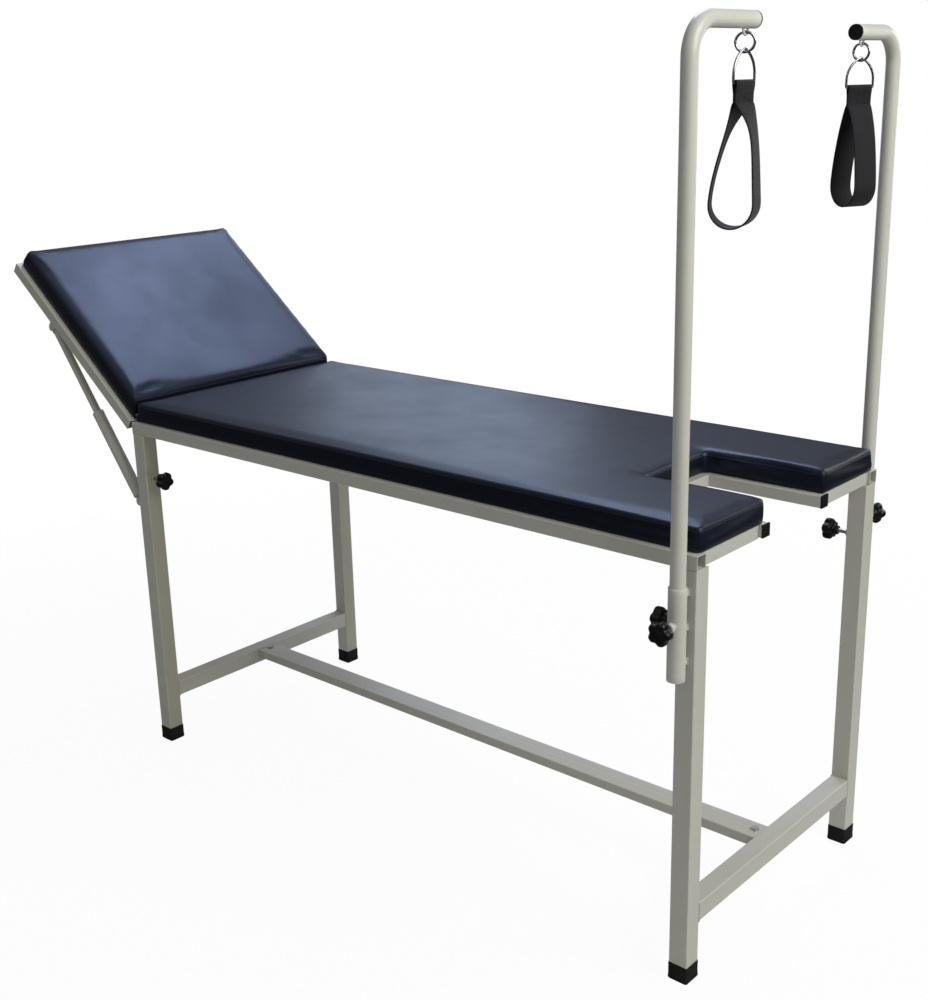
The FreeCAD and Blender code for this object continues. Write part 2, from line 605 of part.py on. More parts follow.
def stay(label, middle, radius, wall, end, base, angle, axis):
    """A stay tube drawn up +Z from its pivot, with a flat tongue and a closed root."""
    eye = primitive("Cylinder", ("0", "-stay_tongue / 2", "0"), TO_Y, Radius="cheek_radius",
                    Height="stay_tongue")
    neck = box("-stay_rod_radius", "stay_rod_radius", "-stay_tongue / 2", "stay_tongue / 2",
               "0", "stay_neck")
    tube = primitive("Cylinder", ("0", "0", "stay_neck"), Radius=radius,
                     Height="%s - stay_neck" % end)
    bore = primitive("Cylinder", ("0", "0", "stay_neck + stay_plug"),
                     Radius="%s - %s" % (radius, wall), Height=end)
    hole = primitive("Cylinder", ("0", "-stay_tongue", "0"), TO_Y,
                     Radius="stay_pin_radius + pin_play", Height="2 * stay_tongue")
    thing = cut(label, fuse(label + "Solid", eye, neck, tube), bore, hole)
    place(thing, (base[0], middle, base[1]), angle=angle, axis=axis)
    nodes.append(thing)


for side, sign in SIDES:
    middle = signed(sign, "stay_y")
    stay("stay_outer_" + side, middle, "stay_tube_radius", "stay_tube_wall", "stay_tube_end",
         ("stay_foot_x", "stay_foot_z"), "stay_lean", V(0, -1, 0))
    stay("stay_inner_" + side, middle, "stay_rod_radius", "stay_rod_wall", "stay_rod_end",
         ("stay_head_x", "stay_head_z"), "180 - stay_lean", V(0, 1, 0))


def arc(sketch, centre, start, stop):
    """An arc drawn anticlockwise about a centre from one point to another."""
    first = math.atan2(start.y - centre.y, start.x - centre.x)
    last = math.atan2(stop.y - centre.y, stop.x - centre.x)
    if last <= first:
        last += 2 * math.pi
    circle = Part.Circle(centre, V(0, 0, 1), (start - centre).Length)
    return sketch.addGeometry(Part.ArcOfCircle(circle, first, last))


def spot(point):
    return V(value(point[0]), value(point[1]), 0)


def chain(sketch, points, pieces, closed):
    """Joins lines and anticlockwise arcs end to end; an arc gives its centre and its fixed axis."""
    order = []
    for index, piece in enumerate(pieces):
        a, b = spot(points[index]), spot(points[(index + 1) % len(points)])
        if piece is None:
            sketch.addGeometry(Part.LineSegment(a, b))
            order.append((1, 2))
            continue
        centre, axis, forward = piece
        arc(sketch, spot(centre), *((a, b) if forward else (b, a)))
        order.append((1, 2) if forward else (2, 1))
    count = len(pieces)
    for index in range(count if closed else count - 1):
        after = (index + 1) % count
        sketch.addConstraint(Sketcher.Constraint("Coincident", index, order[index][1],
                                                 after, order[after][0]))
    for index in range(count):
        pin_point(sketch, index, order[index][0], points[index])
        if pieces[index] is not None:
            pin_point(sketch, index, 3, pieces[index][0], pieces[index][1])
    if not closed:
        pin_point(sketch, count - 1, order[-1][1], points[-1])


# Sling poles: a sleeve with lugs and a nut boss on each foot leg, and a bent tube in it.
for side, sign in SIDES:
    y = signed(sign, "pole_place_y")
    pole_x = "(foot_leg_x - sleeve_shift_%s)" % side
    outer = primitive("Cylinder", (pole_x, y, "sleeve_bottom"), Radius="sleeve_radius",
                      Height="sleeve_length")
    lugs = []
    for number in range(3):
        low = "sleeve_bottom + lug_place + %d * lug_step" % number
        y0, y1 = span(sign, "side_face", "pole_place_y - pole_radius")
        lugs.append(box(pole_x + " - lug_width / 2", pole_x + " + lug_width / 2", y0, y1,
                        low, low + " + lug_height"))
    turn = TO_Y if sign > 0 else TO_MINUS_Y
    boss = primitive("Cylinder", (pole_x, y, "pole_knob_z"), turn,
                     Radius="boss_radius", Height="sleeve_boss")
    bore = primitive("Cylinder", (pole_x, y, "sleeve_bottom - 1"), Radius="sleeve_bore",
                     Height="sleeve_length + 2")
    thread = primitive("Cylinder", (pole_x, y, "pole_knob_z"), turn,
                       Radius="screw_radius + screw_play", Height="sleeve_boss + 1")
    nodes.append(cut("pole_sleeve_" + side, fuse("Sleeve" + side, outer, boss, *lugs),
                     bore, thread))
    nodes.append(knob("pole_knob_" + side, "pole_knob_reach - pole_radius - screw_tip_gap",
                      (pole_x, signed(sign, "pole_place_y + pole_knob_reach"),
                       "pole_knob_z"), turn))

    arm_z = "arm_z_" + side
    arm_y = signed(sign, "arm_end_" + side)
    bend_y = signed(sign, "pole_place_y - pole_bend")
    tube = new_body("pole_tube_" + side)
    ring = sketch_on(tube, "XY", "pole_foot_z")
    outline(ring, ("0", "0", "pole_radius"))
    outline(ring, ("0", "0", "pole_radius - pole_wall"))
    path = sketch_on(tube, "YZ")
    bend_z = "%s - pole_bend" % arm_z
    inward = signed(-sign, "pole_bend")
    chain(path, [("0", "pole_foot_z"), ("0", bend_z), (inward, arm_z),
                 (signed(-sign, "pole_place_y - arm_end_" + side), arm_z)],
          [None, ((inward, bend_z), "X", sign > 0), None], False)
    sweep = tube.newObject("PartDesign::AdditivePipe", "PoleSweep" + side)
    sweep.Profile = ring
    sweep.Spine = (path, ["Edge1", "Edge2", "Edge3"])
    place(tube, (pole_x, y, "0"))
    eye_y = signed(sign, "eye_y_" + side)
    eye_z = "%s - pole_radius - eye_drop" % arm_z
    eye = primitive("Torus", (pole_x, eye_y, eye_z), TO_X, Radius1="eye_radius",
                    Radius2="eye_wire")
    nodes.append(fuse("pole_" + side, tube, eye))

    bore = "pole_radius - pole_wall - pin_play"
    head = primitive("Cylinder", ("0", "0", "-plug_head"), Radius="pole_radius - 0.5",
                     Height="plug_head")
    stem = primitive("Cylinder", ("0", "0", "0"), Radius=bore, Height="plug_depth")
    foot = fuse("pole_foot_plug_" + side, head, stem)
    place(foot, (pole_x, y, "pole_foot_z"))
    nodes.append(foot)
    head = primitive("Cylinder", ("0", "0", "-plug_head"), Radius="pole_radius",
                     Height="plug_head")
    stem = primitive("Cylinder", ("0", "0", "0"), Radius=bore, Height="plug_depth")
    cap = fuse("arm_plug_" + side, head, stem)
    place(cap, (pole_x, arm_y, arm_z), turn)
    nodes.append(cap)

    # Sling: a round ring in the eye, a D-ring in the ring, a sewn webbing loop on its bar.
    ring_z = "%s - ring_hang - ring_radius" % eye_z
    turned = FreeCAD.Rotation(V(0, 0, 1), value("ring_turn_" + side))
    hoop = primitive("Torus", (pole_x, eye_y, ring_z),
                     turned.multiply(FreeCAD.Rotation(V(1, 0, 0), 90)),
                     Radius1="ring_radius", Radius2="ring_wire")
    hoop.Label = "ring_" + side
    nodes.append(hoop)

    bar_z = "%s - ring_radius + link_lift - dee_height" % ring_z
    dee = new_body("d_ring_" + side)
    lines = sketch_on(dee, "XZ")
    r, c, s = "dee_radius", "dee_corner", "dee_side"
    flat = "%s - %s" % (r, c)
    reach = "(dee_radius + dee_spread) / dee_sweep"
    tip = ("dee_spread * %s - dee_spread" % reach, "dee_side + dee_rise * %s" % reach)
    chain(lines, [("-(%s)" % flat, "0"), (flat, "0"), (r, c), (r, s), tip,
                  ("-(%s)" % tip[0], tip[1]), ("-" + r, s), ("-" + r, c)],
          [None, ((flat, c), "X", True), None, (("-dee_spread", s), "Y", True),
           (("0", "dee_side + dee_rise"), "Y", True), (("dee_spread", s), "Y", True), None,
           (("-(%s)" % flat, c), "X", True)], True)
    wire = sketch_on(dee, "YZ")
    outline(wire, ("0", "0", "ring_wire"))
    swept = dee.newObject("PartDesign::AdditivePipe", "DeeSweep" + side)
    swept.Profile = wire
    swept.Spine = (lines, ["Edge%d" % n for n in range(1, 9)])
    place(dee, (pole_x, eye_y, bar_z), angle="dee_turn_" + side, axis=V(0, 0, 1))
    nodes.append(dee)

    strap = new_body("strap_" + side)
    low_z = "-(sling_drop_%s - sling_radius)" % side
    neck_z = "-(neck_length + sling_pin)"
    half = "web_width / 2"
    for shrink, cutting in (("0", False), ("web_thickness", True)):
        small = "(web_thickness + neck_gap - (%s))" % shrink
        large = "(sling_radius - (%s))" % shrink
        sine = "((sling_radius - web_thickness - neck_gap) / ((%s) - (%s)))" % (neck_z, low_z)
        cosine = "sqrt(1 - %s ^ 2)" % sine
        loop = sketch_on(strap, "YZ", "-(%s)" % half)
        tops = ("%s * %s" % (small, cosine), "%s + %s * %s" % (neck_z, small, sine))
        lows = ("%s * %s" % (large, cosine), "%s + %s * %s" % (low_z, large, sine))
        mirrored = [("-(%s)" % p[0], p[1]) for p in (lows, tops)]
        chain(loop, [tops, lows] + mirrored,
              [None, (("0", low_z), "Y", False), None, (("0", neck_z), "Y", False)], True)
        kind = "Pocket" if cutting else "Pad"
        feature = strap.newObject("PartDesign::" + kind, "Sling" + kind + side)
        feature.Profile = loop
        feature.Reversed = cutting
        feature.setExpression("Length", bound("web_width"))
    wide = "web_thickness + neck_gap"
    prism(strap, "YZ", "-(%s)" % half, half, rect("-(%s)" % wide, wide, neck_z, "0"))
    prism(strap, "YZ", "-(%s)" % half, half, ("0", "0", "sling_pin + web_thickness"))
    prism(strap, "YZ", "-(%s) - 1" % half, half + " + 1", ("0", "0", "sling_pin"), cut=True)
    place(strap, (pole_x, eye_y, bar_z), angle="dee_turn_" + side, axis=V(0, 0, 1))
    nodes.append(strap)

doc.recompute()
doc.removeObject(work.Name)
doc.recompute()
for thing in doc.Objects:
    if "Invalid" in thing.State or "Error" in thing.State:
        raise RuntimeError("not built: " + thing.Label)
os.makedirs("parts", exist_ok=True)
for node in nodes:
    shape = node.Shape
    if shape.isNull() or not shape.isValid() or shape.Volume < 1:
        raise RuntimeError("bad shape: " + node.Label)
    shape.exportStep(os.path.join("parts", node.Label + ".step"))
    print(node.Label, len(shape.Solids), round(shape.Volume), shape.BoundBox)
print(len(nodes), "nodes")
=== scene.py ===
import math

import bmesh
import bpy
from mathutils import Matrix, Vector


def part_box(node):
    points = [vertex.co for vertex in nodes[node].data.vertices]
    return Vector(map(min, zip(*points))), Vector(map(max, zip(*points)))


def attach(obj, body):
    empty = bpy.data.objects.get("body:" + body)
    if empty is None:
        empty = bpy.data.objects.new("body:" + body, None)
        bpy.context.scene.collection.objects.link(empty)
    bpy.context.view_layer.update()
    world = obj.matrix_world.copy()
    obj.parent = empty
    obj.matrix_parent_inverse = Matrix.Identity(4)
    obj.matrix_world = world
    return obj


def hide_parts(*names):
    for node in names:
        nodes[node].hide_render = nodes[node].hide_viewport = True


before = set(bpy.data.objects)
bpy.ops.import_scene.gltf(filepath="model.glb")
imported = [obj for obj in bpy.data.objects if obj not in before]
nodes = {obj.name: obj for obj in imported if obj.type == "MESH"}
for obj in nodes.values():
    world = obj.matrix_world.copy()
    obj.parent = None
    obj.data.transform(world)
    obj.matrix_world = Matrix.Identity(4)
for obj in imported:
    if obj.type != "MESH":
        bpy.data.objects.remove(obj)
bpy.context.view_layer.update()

# Camera
# It stands off the foot end's near corner, above the pads, and looks along the table and a
# little down, with a slight roll.
yaw, pitch, roll = math.radians(42.0), math.radians(17.1), math.radians(-1.5)
forward = Vector((-math.sin(yaw) * math.cos(pitch), math.cos(yaw) * math.cos(pitch),
                  -math.sin(pitch)))
right = Vector((math.cos(yaw), math.sin(yaw), 0))
up = right.cross(forward)
right, up = (math.cos(roll) * right + math.sin(roll) * up,
             math.cos(roll) * up - math.sin(roll) * right)
camera = bpy.data.objects.new("camera", bpy.data.cameras.new("camera"))
bpy.context.scene.collection.objects.link(camera)
camera.data.lens = 49.05
camera.data.clip_end = 60
stand = Matrix.Translation((1.946, -1.9635, 1.4472))
camera.matrix_world = stand @ Matrix((right, up, -forward)).transposed().to_4x4()
bpy.context.scene.camera = camera

# Studio
# A white room: the floor and the world look white to the camera, and in gloss they are bright
# above and dim below, so that the vinyl's tops shine and its sides stay dark.
bpy.context.scene.view_settings.view_transform = "Standard"


def ray_masks(tree):
    """Masks for what the camera sees, straight or through glass, and for what gloss shows."""
    path = tree.nodes.new("ShaderNodeLightPath")
    either = tree.nodes.new("ShaderNodeMath")
    either.operation = "MAXIMUM"
    tree.links.new(path.outputs["Is Camera Ray"], either.inputs[0])
    tree.links.new(path.outputs["Is Transmission Ray"], either.inputs[1])
    return either.outputs[0], path.outputs["Is Glossy Ray"]


world = bpy.data.worlds.new("white_room")
bpy.context.scene.world = world
world.use_nodes = True
tree = world.node_tree
tree.nodes.clear()
white, gloss = ray_masks(tree)
seen = tree.nodes.new("ShaderNodeBackground")
seen.inputs["Color"].default_value = (1, 1, 1, 1)
light = tree.nodes.new("ShaderNodeBackground")
light.inputs["Color"].default_value = (1.0, 0.985, 0.96, 1)
light.inputs["Strength"].default_value = 0.27
where = tree.nodes.new("ShaderNodeTexCoord")
split = tree.nodes.new("ShaderNodeSeparateXYZ")
rise = tree.nodes.new("ShaderNodeMapRange")
rise.inputs["From Min"].default_value = -0.05
rise.inputs["From Max"].default_value = 0.8
rise.inputs["To Min"].default_value = 0.04
rise.inputs["To Max"].default_value = 0.55
sky = tree.nodes.new("ShaderNodeBackground")
sky.inputs["Color"].default_value = (0.93, 0.96, 1.0, 1)
room = tree.nodes.new("ShaderNodeMixShader")
mixed = tree.nodes.new("ShaderNodeMixShader")
result = tree.nodes.new("ShaderNodeOutputWorld")
tree.links.new(where.outputs["Generated"], split.inputs[0])
tree.links.new(split.outputs["Z"], rise.inputs["Value"])
tree.links.new(rise.outputs[0], sky.inputs["Strength"])
tree.links.new(gloss, room.inputs[0])
tree.links.new(light.outputs[0], room.inputs[1])
tree.links.new(sky.outputs[0], room.inputs[2])
tree.links.new(white, mixed.inputs[0])
tree.links.new(room.outputs[0], mixed.inputs[1])
tree.links.new(seen.outputs[0], mixed.inputs[2])
tree.links.new(mixed.outputs[0], result.inputs[0])

bpy.ops.mesh.primitive_plane_add(size=30, location=(0, 0, 0))
floor = bpy.context.object
floor.name = "floor"
floor_paint = bpy.data.materials.new("floor")
floor_paint.use_nodes = True
tree = floor_paint.node_tree
tree.nodes.clear()
white, gloss = ray_masks(tree)
matte = tree.nodes.new("ShaderNodeBsdfDiffuse")
matte.inputs["Color"].default_value = (0.86, 0.86, 0.86, 1)
dim = tree.nodes.new("ShaderNodeBsdfDiffuse")
dim.inputs["Color"].default_value = (0.2, 0.2, 0.2, 1)
glow = tree.nodes.new("ShaderNodeEmission")
glow.inputs["Color"].default_value = (1, 1, 1, 1)
share = tree.nodes.new("ShaderNodeMath")
share.operation = "MULTIPLY"
share.inputs[1].default_value = 0.95
lit = tree.nodes.new("ShaderNodeMixShader")
mixed = tree.nodes.new("ShaderNodeMixShader")
place = tree.nodes.new("ShaderNodeTexCoord")
away = tree.nodes.new("ShaderNodeVectorMath")
away.operation = "LENGTH"
fade = tree.nodes.new("ShaderNodeMapRange")
fade.interpolation_type = "SMOOTHSTEP"
fade.inputs["From Min"].default_value = 1.1
fade.inputs["From Max"].default_value = 2.6
clear = tree.nodes.new("ShaderNodeBsdfTransparent")
edge = tree.nodes.new("ShaderNodeMixShader")
result = tree.nodes.new("ShaderNodeOutputMaterial")
tree.links.new(white, share.inputs[0])
tree.links.new(gloss, lit.inputs[0])
tree.links.new(matte.outputs[0], lit.inputs[1])
tree.links.new(dim.outputs[0], lit.inputs[2])
tree.links.new(share.outputs[0], mixed.inputs[0])
tree.links.new(lit.outputs[0], mixed.inputs[1])
tree.links.new(glow.outputs[0], mixed.inputs[2])
tree.links.new(place.outputs["Object"], away.inputs[0])
tree.links.new(away.outputs["Value"], fade.inputs["Value"])
tree.links.new(fade.outputs[0], edge.inputs[0])
tree.links.new(mixed.outputs[0], edge.inputs[1])
tree.links.new(clear.outputs[0], edge.inputs[2])
tree.links.new(edge.outputs[0], result.inputs[0])
floor.data.materials.append(floor_paint)

for name, place, aim, size, watts, colour in (
        ("key_lamp", (3.3, -0.1, 2.7), (0.5, 0, 0.9), 2.0, 86, (1, 0.985, 0.955)),
        ("side_lamp", (-1.2, -3.4, 2.6), (0, 0, 0.6), 2.2, 2, (1, 0.98, 0.95)),
        ("far_lamp", (1.2, 2.9, 1.5), (-0.3, 0, 0.4), 1.2, 16, (1, 0.985, 0.955)),
        ("window_lamp", (-1.25, 1.50, 1.50), (0.40, -0.25, 0.8), 0.9, 4.4, (0.62, 0.76, 1)),
        ("ceiling_lamp", (-0.75, 1.35, 3.2), (-0.6, -0.1, 0.9), 1.3, 44, (0.62, 0.72, 1))):
    lamp = bpy.data.objects.new(name, bpy.data.lights.new(name, "AREA"))
    lamp.data.size = size
    lamp.data.energy = watts
    lamp.data.color = colour
    lamp.location = place
    lamp.visible_camera = False
    lamp.rotation_euler = (Vector(aim) - Vector(place)).to_track_quat("-Z", "Y").to_euler()
    bpy.context.scene.collection.objects.link(lamp)

# Welded tube frame
# Square and round steel tube, cut, welded and coated together in a warm light grey powder,
# which leaves a fine orange peel, and rubs thin along the edges of the legs.


def effect(name, inputs, outputs):
    """An empty shader node group with named sockets."""
    made = bpy.data.node_groups.new(name, "ShaderNodeTree")
    for label, kind, value in inputs:
        socket = made.interface.new_socket(name=label, in_out="INPUT", socket_type=kind)
        socket.default_value = value
    for label, kind in outputs:
        made.interface.new_socket(name=label, in_out="OUTPUT", socket_type=kind)
    return made, made.nodes.new("NodeGroupInput"), made.nodes.new("NodeGroupOutput")


def wire(tree, kind, settings=(), **values):
    """A node with its settings, and its inputs set to values or linked from sockets."""
    node = tree.nodes.new("ShaderNode" + kind)
    for key, value in settings:
        setattr(node, key, value)
    for key, value in values.items():
        name = key.replace("_", " ").strip()
        socket = node.inputs[int(name[3:])] if name.startswith("in ") else node.inputs[name]
        if isinstance(value, bpy.types.NodeSocket):
            tree.links.new(value, socket)
        else:
            socket.default_value = value
    return node


mottle, given, out = effect("Mottle", [("Colour", "NodeSocketColor", (1, 1, 1, 1)),
                                       ("Dark", "NodeSocketColor", (0.5, 0.5, 0.5, 1)),
                                       ("Scale", "NodeSocketFloat", 6.0),
                                       ("Amount", "NodeSocketFloat", 0.3)],
                            [("Colour", "NodeSocketColor"), ("Mask", "NodeSocketFloat")])
where = mottle.nodes.new("ShaderNodeTexCoord")
cloud = wire(mottle, "TexNoise", Vector=where.outputs["Object"], Scale=given.outputs["Scale"],
             Detail=5.0, Roughness=0.6)
band = wire(mottle, "MapRange", Value=cloud.outputs["Fac"], From_Min=0.35, From_Max=0.7)
part = wire(mottle, "Math", [("operation", "MULTIPLY")], in_0=band.outputs[0],
            in_1=given.outputs["Amount"])
shade = wire(mottle, "Mix", [("data_type", "RGBA")], in_0=part.outputs[0],
             in_6=given.outputs["Colour"], in_7=given.outputs["Dark"])
mottle.links.new(shade.outputs[2], out.inputs["Colour"])
mottle.links.new(band.outputs[0], out.inputs["Mask"])

peel, given, out = effect("Peel", [("Scale", "NodeSocketFloat", 500.0)],
                          [("Height", "NodeSocketFloat")])
where = peel.nodes.new("ShaderNodeTexCoord")
grain = wire(peel, "TexNoise", Vector=where.outputs["Object"], Scale=given.outputs["Scale"],
             Detail=3.0, Roughness=0.55)
peel.links.new(grain.outputs["Fac"], out.inputs["Height"])


def use(tree, made, **values):
    """Places an effect in a material with its own values."""
    node = tree.nodes.new("ShaderNodeGroup")
    node.node_tree = made
    for key, value in values.items():
        if isinstance(value, bpy.types.NodeSocket):
            tree.links.new(value, node.inputs[key])
        else:
            node.inputs[key].default_value = value
    return node


def finish_of(name, roughness, metallic=0.0, **sockets):
    """A material with one Principled shader, and values set on its own sockets."""
    made = bpy.data.materials.new(name)
    made.use_nodes = True
    shader = made.node_tree.nodes["Principled BSDF"]
    shader.inputs["Roughness"].default_value = roughness
    shader.inputs["Metallic"].default_value = metallic
    for key, value in sockets.items():
        shader.inputs[key.replace("_", " ")].default_value = value
    return made, made.node_tree, shader


def bump(tree, shader, height, strength, distance):
    raised = wire(tree, "Bump", Height=height, Strength=strength, Distance=distance)
    tree.links.new(raised.outputs[0], shader.inputs["Normal"])


def coated_steel(name, base, dark, worn_edge):
    made, tree, shader = finish_of(name, 0.38, Coat_Weight=0.15)
    cloud = use(tree, mottle, Colour=base, Dark=dark, Scale=5.0, Amount=0.6)
    edge = wire(tree, "NewGeometry")
    worn = wire(tree, "MapRange", Value=edge.outputs["Pointiness"], From_Min=0.53, From_Max=0.62)
    rubbed = wire(tree, "Mix", [("data_type", "RGBA")], in_0=worn.outputs[0],
                  in_6=cloud.outputs["Colour"], in_7=worn_edge)
    tree.links.new(rubbed.outputs[2], shader.inputs["Base Color"])
    gloss = wire(tree, "MapRange", Value=cloud.outputs["Mask"], To_Min=0.34, To_Max=0.48)
    tree.links.new(gloss.outputs[0], shader.inputs["Roughness"])
    bump(tree, shader, use(tree, peel, Scale=420.0).outputs["Height"], 0.25, 0.0006)
    return made


def coat(node, made):
    """Gives a carried-over CAD node its finish."""
    held = nodes[node]
    if not held.material_slots:
        held.data.materials.append(made)
    for slot in held.material_slots:
        slot.material = made


powder_coat = coated_steel("coated_steel", (0.40, 0.40, 0.325, 1), (0.345, 0.335, 0.265, 1),
                           (0.50, 0.50, 0.45, 1))
for name in ("side_rail_near", "side_rail_far", "head_cross_rail", "middle_cross_rail",
             "cutout_cross_rail", "cutout_rail_near", "cutout_rail_far", "foot_end_bar_near",
             "foot_end_bar_far", "head_leg_near", "head_leg_far", "foot_leg_near", "foot_leg_far",
             "leg_stubs", "head_stretcher", "foot_stretcher", "centre_stretcher",
             "back_rail_near", "back_rail_far",
             "back_head_rail", "back_hinge_rail", "stay_leg_brackets", "stay_back_brackets",
             "stay_outer_near", "stay_outer_far", "stay_inner_near", "stay_inner_far"):
    coat(name, powder_coat)

# Zinc-plated fittings
# Pressed butt hinges with their pins, which carry the backrest, and the bolts that hold the
# flat stretcher on the tongues of the cross stretchers. All are steel with a dull plating.


def zinc_plate():
    made, tree, shader = finish_of("zinc_plate", 0.35, 1.0)
    cloud = use(tree, mottle, Colour=(0.56, 0.57, 0.57, 1), Dark=(0.42, 0.42, 0.40, 1),
                Scale=60.0, Amount=0.6)
    tree.links.new(cloud.outputs["Colour"], shader.inputs["Base Color"])
    bump(tree, shader, use(tree, peel, Scale=900.0).outputs["Height"], 0.2, 0.0003)
    return made


zinc = zinc_plate()
for name in ("hinge_seat_leaves", "hinge_back_leaves", "hinge_pins", "stretcher_bolts"):
    coat(name, zinc)

# Plugs and leg caps
# Plugs of moulded black plastic are pressed into the open tube ends. Black rubber caps are
# pushed over the feet of the legs, and splay a little on the floor.


def black_moulding(name, colour, roughness, scale):
    made, tree, shader = finish_of(name, roughness, Specular_IOR_Level=0.3)
    cloud = use(tree, mottle, Colour=colour, Dark=tuple(0.55 * c for c in colour[:3]) + (1,),
                Scale=25.0, Amount=0.6)
    tree.links.new(cloud.outputs["Colour"], shader.inputs["Base Color"])
    bump(tree, shader, use(tree, peel, Scale=scale).outputs["Height"], 0.3, 0.0004)
    return made


plug_plastic = black_moulding("plug_plastic", (0.006, 0.006, 0.0065, 1), 0.45, 1200.0)
cap_rubber = black_moulding("cap_rubber", (0.009, 0.009, 0.0095, 1), 0.7, 800.0)
for name in ("cutout_rail_plugs", "arm_plug_near", "arm_plug_far", "pole_foot_plug_near",
             "pole_foot_plug_far"):
    coat(name, plug_plastic)


def new_piece(name, made, *finishes):
    """Turns a bmesh into a smooth-shaded object with its finishes."""
    data = bpy.data.meshes.new(name)
    made.to_mesh(data)
    made.free()
    piece = bpy.data.objects.new(name, data)
    bpy.context.scene.collection.objects.link(piece)
    for finish in finishes:
        data.materials.append(finish)
    data.polygons.foreach_set("use_smooth", [True] * len(data.polygons))
    return piece


def squared(made, half, corner, height):
    """A loop round a square with rounded corners."""
    loop = []
    for quarter in range(4):
        for step in range(6):
            a = math.pi / 2 * (quarter + step / 5)
            x = math.copysign(half - corner, math.cos(math.pi / 2 * (quarter + 0.5)))
            y = math.copysign(half - corner, math.sin(math.pi / 2 * (quarter + 0.5)))
            place = (x + corner * math.cos(a), y + corner * math.sin(a), height)
            loop.append(made.verts.new(place))
    return loop


def leg_cap(name, middle):
    """A rubber cap with a splayed foot, a rounded rim and a pocket for the leg."""
    made = bmesh.new()
    # Each row is half the width, the radius of the corners and the height.
    rows = [(0.0165, 0.003, 0.0), (0.0180, 0.004, 0.0005), (0.0192, 0.004, 0.0025),
            (0.0190, 0.004, 0.0075), (0.0186, 0.0035, 0.0110), (0.0186, 0.003, 0.0300),
            (0.0184, 0.003, 0.0314), (0.0180, 0.003, 0.0320), (0.0176, 0.002, 0.0319),
            (0.0176, 0.002, 0.0062)]
    loops = [squared(made, *row) for row in rows]
    for low, high in zip(loops, loops[1:]):
        for i in range(len(low)):
            j = (i + 1) % len(low)
            made.faces.new((low[i], low[j], high[j], high[i]))
    made.faces.new(list(reversed(loops[0])))
    made.faces.new(loops[-1])
    bmesh.ops.recalc_face_normals(made, faces=made.faces)
    cap = new_piece(name, made, cap_rubber)
    cap.data.transform(Matrix.Translation(middle))
    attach(cap, "base")
    return cap


leg_half, leg_y = 0.0175, 0.2825
for end in ("head", "foot"):
    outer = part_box(end + "_stretcher")[0 if end == "head" else 1].x
    x = outer + (leg_half if end == "head" else -leg_half)
    for side, sign in (("near", -1), ("far", 1)):
        leg_cap("leg_cap_%s_%s" % (end, side), (x, sign * leg_y, 0))
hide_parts("leg_caps")

# Boards
# Sheets of plywood under the foam, which the covers are stapled to. They lie on the rails of
# the seat and the backrest, and are bare on the underside.


def plywood():
    made, tree, shader = finish_of("plywood", 0.65)
    where = wire(tree, "TexCoord")
    along = wire(tree, "Mapping", Vector=where.outputs["Object"], Scale=(1.0, 14.0, 14.0))
    rings = wire(tree, "TexNoise", Vector=along.outputs[0], Scale=6.0, Detail=6.0, Roughness=0.65,
                 Distortion=0.6)
    tint = wire(tree, "ValToRGB", Fac=rings.outputs["Fac"])
    tint.color_ramp.elements[0].color = (0.30, 0.19, 0.10, 1)
    tint.color_ramp.elements[1].color = (0.62, 0.46, 0.28, 1)
    tree.links.new(tint.outputs[0], shader.inputs["Base Color"])
    bump(tree, shader, rings.outputs["Fac"], 0.2, 0.0005)
    return made


board = plywood()
for name in ("seat_board", "back_board"):
    coat(name, board)

# Upholstered pads
# Foam on a board under navy vinyl with a fine leather grain. The cover is pulled tight and held
# at the board, so the top crowns slightly, and a narrow welt runs along the seam of the top.


def navy_vinyl():
    made, tree, shader = finish_of("navy_vinyl", 0.38, Specular_IOR_Level=0.4,
                                   Specular_Tint=(0.62, 0.74, 1.0, 1))
    cloud = use(tree, mottle, Colour=(0.0050, 0.0062, 0.0125, 1), Dark=(0.0032, 0.0041, 0.0085, 1),
                Scale=4.0, Amount=0.8)
    tree.links.new(cloud.outputs["Colour"], shader.inputs["Base Color"])
    gloss = wire(tree, "MapRange", Value=cloud.outputs["Mask"], To_Min=0.33, To_Max=0.45)
    tree.links.new(gloss.outputs[0], shader.inputs["Roughness"])
    where = wire(tree, "TexCoord")
    cells = wire(tree, "TexVoronoi", Vector=where.outputs["Object"], Scale=700.0)
    soft = use(tree, peel, Scale=90.0)
    both = wire(tree, "Math", [("operation", "MULTIPLY_ADD")], in_0=soft.outputs["Height"],
                in_1=0.6, in_2=cells.outputs["Distance"])
    bump(tree, shader, both.outputs[0], 0.22, 0.0006)
    return made


vinyl = navy_vinyl()


def select_only(piece):
    bpy.ops.object.select_all(action="DESELECT")
    piece.select_set(True)
    bpy.context.view_layer.objects.active = piece


